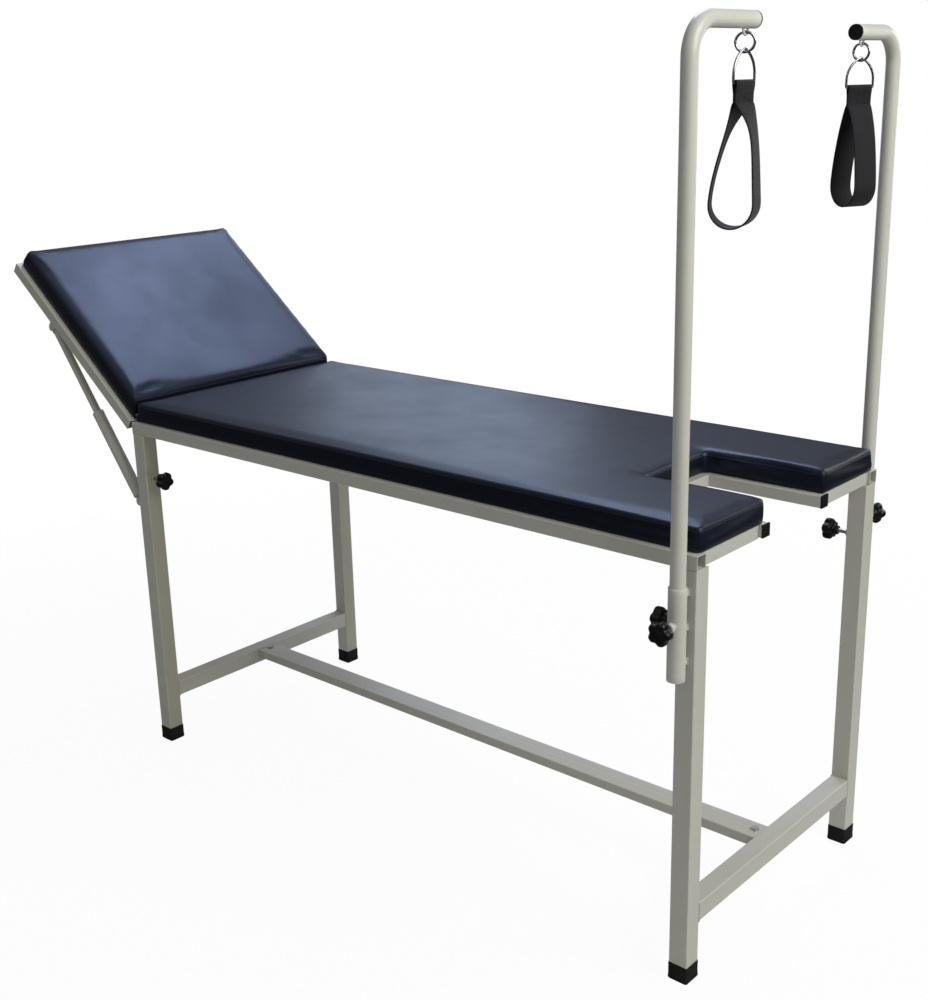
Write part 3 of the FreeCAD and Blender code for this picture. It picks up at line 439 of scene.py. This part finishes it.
def upholster(name, node, normal, base, voxel, swell):
    """Fills a copy of the plain cushion with pressure, held at its board, and caps the swelling."""
    piece = bpy.data.objects.new(name, nodes[node].data.copy())
    bpy.context.scene.collection.objects.link(piece)
    piece.data.materials.clear()
    piece.data.materials.append(vinyl)
    select_only(piece)
    fused = bmesh.new()
    fused.from_mesh(piece.data)
    bmesh.ops.remove_doubles(fused, verts=fused.verts, dist=1e-6)
    fused.to_mesh(piece.data)
    fused.free()
    remesh = piece.modifiers.new("remesh", "REMESH")
    remesh.mode = "VOXEL"
    remesh.voxel_size = voxel
    bpy.ops.object.modifier_apply(modifier=remesh.name)
    rest = [v.co.copy() for v in piece.data.vertices]
    outward = [v.normal.copy() for v in piece.data.vertices]
    rim, room = 0.008, 0.0022
    start = [co - room * abs(out.dot(normal)) * out if (co - base).dot(normal) > rim else co
             for co, out in zip(rest, outward)]
    piece.data.vertices.foreach_set("co", [c for co in start for c in co])
    held = piece.vertex_groups.new(name="board")
    low = [i for i, co in enumerate(start) if (co - base).dot(normal) < rim]
    held.add(low, 1.0, "REPLACE")
    cloth = piece.modifiers.new("cover", "CLOTH")
    cloth.settings.quality = 4
    cloth.settings.mass = 0.4
    cloth.settings.tension_stiffness = 25
    cloth.settings.compression_stiffness = 25
    cloth.settings.bending_stiffness = 2.0
    cloth.settings.use_pressure = True
    cloth.settings.uniform_pressure_force = 4.0
    cloth.settings.effector_weights.gravity = 0.0
    cloth.settings.vertex_group_mass = "board"
    cloth.collision_settings.use_collision = False
    scene = bpy.context.scene
    for step in range(1, 21):
        scene.frame_set(step)
    blown = piece.evaluated_get(bpy.context.evaluated_depsgraph_get()).to_mesh()
    moved = [v.co.copy() for v in blown.vertices]
    piece.modifiers.remove(cloth)
    scene.frame_set(1)
    puffed = []
    for old, new in zip(start, moved):
        push = new - old
        reach = max(push.length, 1e-9)
        puffed.extend(old + push * (swell * math.tanh(reach / swell) / reach))
    piece.data.vertices.foreach_set("co", puffed)
    piece.data.update()
    smooth = piece.modifiers.new("smooth", "SMOOTH")
    smooth.factor = 0.5
    smooth.iterations = 2
    select_only(piece)
    bpy.ops.object.modifier_apply(modifier=smooth.name)
    piece.data.polygons.foreach_set("use_smooth", [True] * len(piece.data.polygons))
    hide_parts(node)
    return piece


voxel, swell = 0.006, 0.0035
seat_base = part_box("seat_cushion")[0]
seat_pad = upholster("seat_pad", "seat_cushion", Vector((0, 0, 1)),
                     Vector((0, 0, seat_base.z)), voxel, swell)
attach(seat_pad, "base")
lean = math.radians(39)
hinge = Vector((-0.522, 0, 0.751))
back_turn = Matrix.Translation(hinge) @ Matrix.Rotation(lean, 4, "Y")
back_pad = upholster("back_pad", "back_cushion", Vector((math.sin(lean), 0, math.cos(lean))),
                     back_turn @ Vector((0, 0, 0.005)), voxel, swell)
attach(back_pad, "backrest")


def seam(name, pad, point, normal, body):
    """Lays a narrow welt where a plane cuts the cover, the line along which it is sewn."""
    cut = bmesh.new()
    cut.from_mesh(pad.data)
    bmesh.ops.bisect_plane(cut, geom=cut.verts[:] + cut.edges[:] + cut.faces[:], plane_co=point,
                           plane_no=normal, clear_inner=True, clear_outer=True)
    at = min(cut.verts, key=lambda vert: (vert.co.x, vert.co.y))
    line, passed = [], set()
    while at is not None:
        line.append(at.co.copy())
        passed.add(at)
        ahead = [edge.other_vert(at) for edge in at.link_edges]
        at = next((vert for vert in ahead if vert not in passed), None)
    cut.free()
    count = len(line)
    for _ in range(3):
        line = [(line[i - 1] + 2 * line[i] + line[(i + 1) % count]) / 4 for i in range(count)]
    made = bmesh.new()
    loops = []
    thick, sides = 0.0011, 8
    for i in range(count):
        along = (line[(i + 1) % count] - line[i - 1]).normalized()
        out = along.cross(normal)
        loops.append([made.verts.new(line[i] + thick * (math.cos(a) * out + math.sin(a) * normal))
                      for a in [2 * math.pi * k / sides for k in range(sides)]])
    for i in range(count):
        low, high = loops[i], loops[(i + 1) % count]
        for k in range(sides):
            m = (k + 1) % sides
            made.faces.new((low[k], low[m], high[m], high[k]))
    bmesh.ops.recalc_face_normals(made, faces=made.faces)
    welt = new_piece(name, made, vinyl)
    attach(welt, body)


seat_seam, back_seam = 0.033, 0.038
seam("seat_welt", seat_pad, Vector((0, 0, seat_base.z + seat_seam)), Vector((0, 0, 1)), "base")
tilted = back_turn.to_3x3() @ Vector((0, 0, 1))
seam("back_welt", back_pad, back_turn @ Vector((0, 0, back_seam)), tilted, "backrest")

# Clamp knobs
# Five-lobed knobs of black plastic, moulded on zinc-plated M8 screws. Four go through the nut
# bosses of the legs, and two through the bosses of the pole sleeves.


def lobed_knob(name, hub, outward, screw):
    """A knob with its hub's inner face at a point, pointing outward, and its threaded screw."""
    made = bmesh.new()
    turns, lobe_count, lobe_dip = 90, 5, 0.0042
    # Each row is the height, the radius and how deep the dips between the lobes are.
    rows = [(0.0, 0.0075, 0), (0.0, 0.0082, 0), (0.004, 0.0086, 0), (0.0072, 0.0092, 0),
            (0.0082, 0.0120, 0.25), (0.0086, 0.0160, 0.75), (0.0098, 0.0184, 1.0),
            (0.0120, 0.0197, 1.0), (0.0165, 0.0200, 1.0), (0.0215, 0.0198, 1.0),
            (0.0242, 0.0188, 0.95), (0.0256, 0.0168, 0.8), (0.0261, 0.0135, 0.5),
            (0.0262, 0.0090, 0.0), (0.0258, 0.0080, 0.0), (0.0258, 0.0030, 0.0)]
    loops = []
    for height, radius, lobes in rows:
        loop = []
        for turn in range(turns):
            angle = 2 * math.pi * turn / turns
            wave = 0.5 - 0.5 * math.cos(lobe_count * angle)
            dip = lobe_dip * lobes * wave ** 1.6
            r = radius - dip
            loop.append(made.verts.new((r * math.cos(angle), r * math.sin(angle), height)))
        loops.append(loop)
    for low, high in zip(loops, loops[1:]):
        for i in range(turns):
            j = (i + 1) % turns
            made.faces.new((low[i], low[j], high[j], high[i]))
    made.faces.new(list(reversed(loops[0])))
    made.faces.new(loops[-1])
    plastic_faces = len(made.faces)
    loops = []
    half_pitch, crest, root, tip, sides = 0.000625, 0.0040, 0.0034, 0.0030, 20
    steps = int(screw / half_pitch)
    for step in range(steps + 1):
        radius = crest if step % 2 else root
        if step == 0:
            radius = tip
        height = -screw + screw * step / steps
        loops.append([made.verts.new((radius * math.cos(a), radius * math.sin(a), height))
                      for a in [2 * math.pi * k / sides for k in range(sides)]])
    for low, high in zip(loops, loops[1:]):
        for i in range(sides):
            j = (i + 1) % sides
            made.faces.new((low[i], low[j], high[j], high[i]))
    made.faces.new(list(reversed(loops[0])))
    made.faces.ensure_lookup_table()
    for face in made.faces[plastic_faces:]:
        face.material_index = 1
    piece = new_piece(name, made, knob_plastic, zinc)
    turn = Vector((0, 0, 1)).rotation_difference(Vector(outward)).to_matrix().to_4x4()
    piece.data.transform(Matrix.Translation(hub) @ turn)
    return piece


knob_plastic = black_moulding("knob_plastic", (0.005, 0.005, 0.0055, 1), 0.32, 1500.0)
leg_screw, pole_screw = 0.0257, 0.0152
leg_clamp_z, pole_clamp_z, pole_hub_y = 0.632, 0.650, 0.3527
for end, face in (("head", 1), ("foot", -1)):
    for side in ("near", "far"):
        node = "leg_knob_%s_%s" % (end, side)
        low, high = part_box(node)
        middle = (low + high) / 2
        tip = low.x if face > 0 else high.x
        hub = Vector((tip + face * leg_screw, math.copysign(leg_y, middle.y), leg_clamp_z))
        knob = lobed_knob("knob_%s_%s" % (end, side), hub, (face, 0, 0), leg_screw)
        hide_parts(node)
        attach(knob, node)
pole_x = {"near": 0.8985, "far": 0.8865}
for side, sign in (("near", -1), ("far", 1)):
    node = "pole_knob_" + side
    hub = Vector((pole_x[side], sign * pole_hub_y, pole_clamp_z))
    knob = lobed_knob("knob_pole_" + side, hub, (0, sign, 0), pole_screw)
    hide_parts(node)
    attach(knob, node)

# Sling poles
# Round tube bent in one curve, each in a sleeve that three lugs hold on its foot leg, with a
# welded boss for the clamp screw. A wire eye is welded under the end of each arm.


def swept(made, points, across, radii, sides, closed=False):
    """Sweeps a circle along points in one plane, whose normal is across."""
    loops = []
    count = len(points)
    for i, point in enumerate(points):
        after = points[(i + 1) % count] if closed or i + 1 < count else point
        before = points[i - 1] if closed or i > 0 else point
        out = (after - before).normalized().cross(across)
        r = radii[i] if isinstance(radii, list) else radii
        loops.append([made.verts.new(point + r * (math.cos(a) * out + math.sin(a) * across))
                      for a in [2 * math.pi * k / sides for k in range(sides)]])
    for i in range(count if closed else count - 1):
        low, high = loops[i], loops[(i + 1) % count]
        for k in range(sides):
            m = (k + 1) % sides
            made.faces.new((low[k], low[m], high[m], high[k]))
    return loops


def walled(made, points, across, outer, inner, sides):
    """A round tube with open ends, swept along points in one plane."""
    outside = swept(made, points, across, outer, sides)
    inside = swept(made, points, across, inner, sides)
    for end in (0, -1):
        for k in range(sides):
            m = (k + 1) % sides
            made.faces.new((outside[end][k], inside[end][k], inside[end][m], outside[end][m]))


def bent(centre, radius, first, last, side_way, up_way, steps):
    """Points on an arc between two angles, in the plane of two directions."""
    angles = [math.radians(first + (last - first) * k / steps) for k in range(steps + 1)]
    return [centre + radius * (math.cos(a) * side_way + math.sin(a) * up_way) for a in angles]


def bead(made, corners, radius=0.0014, closed=True):
    """A rippled weld bead along straight runs between corners that lie in one plane."""
    corners = [Vector(c) for c in corners]
    if closed:
        across = (corners[1] - corners[0]).cross(corners[2] - corners[1]).normalized()
    else:
        across = (corners[1] - corners[0]).orthogonal().normalized()
    points = []
    for start, stop in zip(corners, corners[1:] + corners[:1] if closed else corners[1:]):
        steps = max(1, round((stop - start).length / 0.0007))
        points += [start.lerp(stop, k / steps) for k in range(steps)]
    if not closed:
        points.append(corners[-1])
    radii = [radius * (0.8 + 0.22 * abs(math.sin(k * 1.05))) for k in range(len(points))]
    loops = swept(made, points, across, radii, 8, closed)
    if not closed:
        made.faces.new(loops[0])
        made.faces.new(loops[-1])


def ring_of(centre, first, second, radius, count=28):
    """Corners of a round weld."""
    return [centre + radius * (math.cos(a) * first + math.sin(a) * second)
            for a in [2 * math.pi * k / count for k in range(count)]]


def finished(name, made, body, slot_name, *finishes):
    """Recalculates normals, makes the object, and lets it ride on its body."""
    bmesh.ops.recalc_face_normals(made, faces=made.faces)
    piece = new_piece(name, made, *finishes)
    piece.data.set_sharp_from_angle(angle=math.radians(42))
    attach(piece, body)
    return piece


X, Y, Z = Vector((1, 0, 0)), Vector((0, 1, 0)), Vector((0, 0, 1))
arm_z = {"near": 1.520, "far": 1.506}
arm_end = {"near": 0.160, "far": 0.182}
eye_y = {"near": -0.182, "far": 0.204}
pole_y, pole_radius, pole_bore, pole_bend, pole_foot = 0.3247, 0.0125, 0.0110, 0.050, 0.566
eye_drop, eye_radius, eye_wire = 0.0150, 0.006, 0.00175
# The poles and their sleeves take a lighter copy of the frame's powder coat. It is painted light,
# standing for the brighter light they catch; their real coat is the frame's.
painted_light_pole_coat = coated_steel("painted_light_pole_coat", (0.56, 0.56, 0.51, 1), (0.50, 0.50, 0.45, 1),
                         (0.62, 0.62, 0.58, 1))
for side, sign in (("near", -1), ("far", 1)):
    foot = Vector((pole_x[side], sign * pole_y, pole_foot))
    inward = -sign * Y
    bend_z = arm_z[side] - pole_bend
    route = [foot + Z * (bend_z - pole_foot) * k / 12 for k in range(12)]
    bend_middle = Vector((foot.x, foot.y, bend_z)) + pole_bend * inward
    route += bent(bend_middle, pole_bend, 180, 90, inward, Z, 24)
    reach = pole_y - arm_end[side] - pole_bend
    route += [route[-1] + inward * reach * k / 4 for k in range(1, 5)]
    made = bmesh.new()
    walled(made, route, X, pole_radius, pole_bore, 48)
    eye = Vector((foot.x, eye_y[side], arm_z[side] - eye_drop))
    swept(made, bent(eye, eye_radius, 0, 345, Y, Z, 23), X, eye_wire, 14, closed=True)
    for shift in (-0.0054, 0.0054):
        bead(made, ring_of(eye + Vector((0, shift, 0.0026)), X, Y, 0.0020, 12), 0.0008)
    pole = finished("pole_tube_" + side, made, "pole_" + side, "frame_paint", painted_light_pole_coat)
    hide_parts("pole_" + side)

# Pole sleeves
# Short lengths of larger tube with a turned edge, welded to three lugs on the foot leg, and a
# round boss through which the clamp screw presses on the pole.

socket_bore, socket_radius, socket_edge = 0.0126, 0.0147, 0.0143
lug_y, lug_first, lug_step, lug_edge = 0.306, 0.025, 0.057, 0.005
boss_weld, boss_bead = 0.0078, 0.0012
for side, sign in (("near", -1), ("far", 1)):
    made = bmesh.new()
    centre = Vector((pole_x[side], sign * pole_y, 0))
    low, high = (corner.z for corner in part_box("pole_sleeve_" + side))
    heights = (low, low + 0.0006, low + 0.010, high - 0.010, high - 0.0006, high)
    walled(made, [centre + Z * z for z in heights], X,
           [socket_edge] + [socket_radius] * 4 + [socket_edge], socket_bore, 48)
    axis = centre + Z * pole_clamp_z
    walled(made, [axis + Y * sign * d for d in (0.0128, 0.0145, 0.0214, 0.0220)], X,
           [0.0075, 0.0075, 0.0075, 0.0069], 0.0041, 32)
    for number in range(3):
        lug = Vector((centre.x, sign * lug_y, low + lug_first + lug_step * number))
        for vert in bmesh.ops.create_cube(made, size=1.0)["verts"]:
            vert.co = lug + Vector((vert.co.x * 0.010, vert.co.y * 0.0122, vert.co.z * 0.010))
        for y in (0.3003, 0.3102):
            bead(made, [(lug.x + dx * lug_edge, sign * y, lug.z + dz * lug_edge)
                        for dx, dz in ((-1, -1), (1, -1), (1, 1), (-1, 1))])
    bead(made, ring_of(axis + Y * sign * 0.0138, X, Z, boss_weld), boss_bead)
    # The sleeve takes the poles' lighter copy of the coat, which is painted light.
    sleeve = finished("pole_socket_" + side, made, "base", "frame_paint", painted_light_pole_coat)
    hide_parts("pole_sleeve_" + side)

# Weld beads
# Short rippled beads where the frame's tubes, its stretchers and the stays' leg brackets are
# joined, and round the nut bosses of the legs. They are coated together with the frame.

frame_welds = bmesh.new()
rail_inside, bar_inside, leg_size = 0.275, 0.110, 0.035
plate_half, plate_under, thin_bead = 0.0230, 0.1305, 0.0011
for sign, side in ((-1, "near"), (1, "far")):
    for end in ("head", "foot"):
        low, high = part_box(end + "_stretcher")
        outer = low.x if end == "head" else high.x
        inner = outer + (leg_size if end == "head" else -leg_size)
        bead(frame_welds, [(x, sign * high.y, z) for x, z in
                           ((inner, low.z), (outer, low.z), (outer, high.z), (inner, high.z))])
        face = inner + (0.0004 if end == "head" else -0.0004)
        boss = Vector((face, sign * leg_y, leg_clamp_z))
        bead(frame_welds, ring_of(boss, Y, Z, boss_weld), boss_bead)
    y = sign * rail_inside
    for rail in ("foot_end_bar_" + side, "middle_cross_rail", "head_cross_rail"):
        low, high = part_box(rail)
        for x in (low.x, high.x):
            bead(frame_welds, [(x, y, low.z + 0.002), (x, y, high.z - 0.002)], closed=False)
        bead(frame_welds, [(low.x + 0.001, y, low.z), (high.x - 0.001, y, low.z)], closed=False)
    low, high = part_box("foot_end_bar_" + side)
    y = sign * bar_inside
    bead(frame_welds, [(low.x, y, low.z + 0.004), (low.x, y, high.z - 0.001)], closed=False)
    low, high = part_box("stay_leg_brackets")
    for y in (0.2752, 0.2948):
        bead(frame_welds, [(high.x, sign * y, low.z + 0.001), (high.x, sign * y, high.z - 0.001)],
             thin_bead, False)
for end in ("head", "foot"):
    low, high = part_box(end + "_stretcher")
    face = low.x + 0.0352 if end == "head" else high.x - 0.0352
    bead(frame_welds, [(face, -plate_half, plate_under), (face, plate_half, plate_under)],
         thin_bead, False)
finished("frame_welds", frame_welds, "base", "frame_paint", powder_coat)

# Rings
# Chromed steel wire, bent and closed with a butt weld: a round ring in each eye, and under it
# a D-ring with a drawn-up crown and a straight bar for the webbing.


def chromed_wire():
    made, tree, shader = finish_of("chromed_wire", 0.2, 1.0)
    cloud = use(tree, mottle, Colour=(0.44, 0.45, 0.46, 1), Dark=(0.24, 0.24, 0.25, 1),
                Scale=80.0, Amount=0.6)
    tree.links.new(cloud.outputs["Colour"], shader.inputs["Base Color"])
    bump(tree, shader, use(tree, peel, Scale=700.0).outputs["Height"], 0.15, 0.0003)
    return made


chrome = chromed_wire()
ring_turn = {"near": 30, "far": 0}
dee_turn = {"near": 82, "far": 54}
wire_radius, ring_radius, ring_hang = 0.002, 0.0135, 0.00195
dee_hang, dee_spread, dee_rise, dee_side = 0.0043, 0.014, 0.028218, 0.012
dee_bar, dee_corner, dee_crown, dee_tip = 0.0205, 0.003, 0.0375, 0.006
bar = {}
for side in ("near", "far"):
    eye = Vector((pole_x[side], eye_y[side], arm_z[side] - eye_drop))
    centre = eye - Z * (ring_hang + ring_radius)
    turn = math.radians(ring_turn[side])
    wide = Vector((math.cos(turn), math.sin(turn), 0))
    route = bent(centre, ring_radius, 0, 356.25, wide, Z, 95)
    radii = [wire_radius + 0.00035 * math.exp(-((k - 48) / 1.3) ** 2) for k in range(96)]
    made = bmesh.new()
    swept(made, route, wide.cross(Z), radii, 16, closed=True)
    ring = finished("round_ring_" + side, made, "ring_" + side, "chrome", chrome)
    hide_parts("ring_" + side)

    bar[side] = centre - Z * (ring_radius - dee_hang + dee_side + dee_rise + dee_tip)
    turn = math.radians(dee_turn[side])
    wide = Vector((math.cos(turn), math.sin(turn), 0))
    slant = math.degrees(math.acos(dee_spread / (dee_crown - dee_tip)))
    shoulder, spread = bar[side] + dee_side * Z, dee_spread * wide
    lift = dee_corner * Z
    route = [bar[side] + wide * dee_bar * k / 10 for k in range(-10, 10)]
    route += bent(bar[side] + dee_bar * wide + lift, dee_corner, -90, 0, wide, Z, 8)
    route += bent(shoulder - spread, dee_crown, 0, slant, wide, Z, 26)
    route += bent(shoulder + dee_rise * Z, dee_tip, slant, 180 - slant, wide, Z, 12)[1:-1]
    route += bent(shoulder + spread, dee_crown, 180 - slant, 180, wide, Z, 26)
    route += bent(bar[side] - dee_bar * wide + lift, dee_corner, 180, 270, wide, Z, 8)[:-1]
    made = bmesh.new()
    swept(made, route, wide.cross(Z), wire_radius, 16, closed=True)
    dee = finished("delta_ring_" + side, made, "d_ring_" + side, "chrome", chrome)
    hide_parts("d_ring_" + side)

# Webbing slings
# Black woven webbing, 42 mm wide, folded over the bar of the D-ring and box-stitched to itself
# below it. Each loop twists a little as it hangs.


def woven_webbing():
    made, tree, shader = finish_of("woven_webbing", 0.7, Sheen_Weight=0.12, Sheen_Roughness=0.5,
                                   Specular_IOR_Level=0.25)
    cloud = use(tree, mottle, Colour=(0.0065, 0.0065, 0.009, 1), Dark=(0.003, 0.003, 0.004, 1),
                Scale=30.0, Amount=0.7)
    run = wire(tree, "UVMap", [("uv_map", "UVMap")])
    ribs = wire(tree, "TexWave", [("wave_type", "BANDS"), ("bands_direction", "Y")],
                Vector=run.outputs[0], Scale=190.0, Distortion=0.2, Detail=1.0)
    warp = wire(tree, "TexWave", [("wave_type", "BANDS"), ("bands_direction", "X")],
                Vector=run.outputs[0], Scale=100.0, Distortion=0.2, Detail=1.0)
    weave = wire(tree, "Math", [("operation", "MULTIPLY")], in_0=ribs.outputs["Fac"],
                 in_1=warp.outputs["Fac"])
    # The raised threads of the weave are painted lighter than the dips. This is a painted highlight
    # on the ribs, which the bump also raises.
    lit = wire(tree, "Mix", [("data_type", "RGBA")], in_0=weave.outputs[0],
               in_6=cloud.outputs["Colour"], in_7=(0.013, 0.013, 0.017, 1))
    tree.links.new(lit.outputs[2], shader.inputs["Base Color"])
    bump(tree, shader, weave.outputs[0], 0.55, 0.0006)
    return made


def sewing_thread():
    made, tree, shader = finish_of("sewing_thread", 0.6, Specular_IOR_Level=0.3)
    cloud = use(tree, mottle, Colour=(0.016, 0.016, 0.02, 1), Dark=(0.008, 0.008, 0.01, 1),
                Scale=400.0, Amount=0.6)
    tree.links.new(cloud.outputs["Colour"], shader.inputs["Base Color"])
    bump(tree, shader, use(tree, peel, Scale=2500.0).outputs["Height"], 0.4, 0.0003)
    return made


def eased(value):
    value = min(max(value, 0.0), 1.0)
    return value * value * (3 - 2 * value)


def band_route(drop, radius, neck):
    """The middle line of a webbing loop, as distances across and down from the bar's middle."""
    fold, pinch, half_thick, leave, arrive = 0.0037, 0.0021, 0.0014, 0.058, 0.060
    route = [(fold * math.cos(a), fold * math.sin(a))
             for a in [math.pi * k / 14 for k in range(15)]]
    low, reach = -(drop - radius), radius - half_thick
    strand = []
    for k in range(1, 10):
        strand.append((-(fold - pinch * eased(1.6 * k / 9)), -neck * k / 9))
    for k in range(1, 45):
        t = k / 44
        start, end = 2 * t ** 3 - 3 * t * t + 1, 3 * t * t - 2 * t ** 3
        leaving, arriving = t ** 3 - 2 * t * t + t, t ** 3 - t * t
        strand.append((-(start * (fold - pinch) + end * reach + leave * leaving),
                       -start * neck + end * low - arrive * leaving - arrive * arriving))
    bottom = [(reach * math.cos(a), low + reach * math.sin(a))
              for a in [math.pi + math.pi * k / 30 for k in range(1, 30)]]
    return route + strand + bottom + [(-u, v) for u, v in reversed(strand)]


def webbing_loop(origin, turns, lean, drop, radius):
    """Sweeps the webbing's section along its loop, turning it from the bar to the bottom."""
    neck, half, thick, twist_depth = 0.0265, 0.0208, 0.00125, 0.024
    route = band_route(drop, radius, neck)
    count = len(route)
    across_top = [-half, -0.0204, -0.0196, -0.010, 0, 0.010, 0.0196, 0.0204, half]
    rise_top = [0, 0.75 * thick, thick, thick, thick, thick, thick, 0.75 * thick, 0]
    section = list(zip(across_top, rise_top))
    section += [(a, -b) for a, b in reversed(section[1:-1])]
    at_bar, at_bottom, left, right_side = turns
    places, ways = [], []
    for u, v in route:
        depth = 1 - math.exp(-(max(-v - neck, 0) / twist_depth) ** 1.5)
        azimuth = math.radians(at_bar + (at_bottom - at_bar) * depth)
        share = 0.5 - 0.5 * u / radius
        extra = math.radians(right_side + (left - right_side) * share) * depth
        across = Vector((math.sin(azimuth), -math.cos(azimuth), 0))
        shift = lean * eased((-v - neck) / (drop - neck - radius))
        places.append(origin + across * (u + shift) + Z * v)
        ways.append(Vector((math.cos(azimuth + extra), math.sin(azimuth + extra), 0)))
    made = bmesh.new()
    chart = made.loops.layers.uv.new("UVMap")
    loops, run = [], [0.0]
    for i in range(count):
        along = (places[(i + 1) % count] - places[i - 1]).normalized()
        wide = (ways[i] - along * ways[i].dot(along)).normalized()
        out = along.cross(wide)
        loops.append([made.verts.new(places[i] + wide * a + out * b) for a, b in section])
        run.append(run[-1] + (places[(i + 1) % count] - places[i]).length)
    size = len(section)
    for i in range(count):
        low, high = loops[i], loops[(i + 1) % count]
        for k in range(size):
            m = (k + 1) % size
            face = made.faces.new((low[k], low[m], high[m], high[k]))
            for corner, (a, row) in zip(face.loops, ((k, 0), (m, 0), (m, 1), (k, 1))):
                corner[chart].uv = (section[a][0] + 0.03, run[i + row])
    return made


def stitched(made, start, stop, out):
    """A row of stitches between two points, standing a little out of the webbing."""
    length = (stop - start).length
    along = (stop - start).normalized()
    stitch = 0.0038
    count = max(2, int(length / stitch))
    for k in range(count):
        first = start + along * (length * (k + 0.12) / count)
        route = [first + along * 0.0006 * t + out * 0.0003 * math.sin(math.pi * t / 5)
                 for t in range(6)]
        radii = [0.00012 + 0.00026 * math.sin(math.pi * (t + 0.4) / 5.8) for t in range(6)]
        loops = swept(made, route, out.cross(along).normalized(), radii, 7)
        made.faces.new(loops[0])
        made.faces.new(loops[-1])


webbing = woven_webbing()
thread = sewing_thread()
box_face, box_half, box_top, box_low = 0.00305, 0.0165, 0.0115, 0.0265
for side, drop, radius, lean, turns in (("near", 0.205, 0.0355, -0.010, (82, 111, 5, -7)),
                                        ("far", 0.191, 0.0345, -0.003, (54, 63, 2, -2))):
    made = webbing_loop(bar[side], turns, lean, drop, radius)
    sling = finished("sling_" + side, made, "strap_" + side, "webbing", webbing)
    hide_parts("strap_" + side)
    turn = math.radians(turns[0])
    wide = Vector((math.cos(turn), math.sin(turn), 0))
    across = Vector((math.sin(turn), -math.cos(turn), 0))
    made = bmesh.new()
    for way in (-1, 1):
        face = bar[side] + across * way * box_face
        corners = [face + wide * a - Z * b for a, b in
                   ((-box_half, box_top), (box_half, box_top), (box_half, box_low),
                    (-box_half, box_low))]
        for a, b in ((0, 1), (1, 2), (2, 3), (3, 0), (0, 2), (1, 3)):
            stitched(made, corners[a], corners[b], across * way)
    finished("box_stitch_" + side, made, "strap_" + side, "webbing", thread)
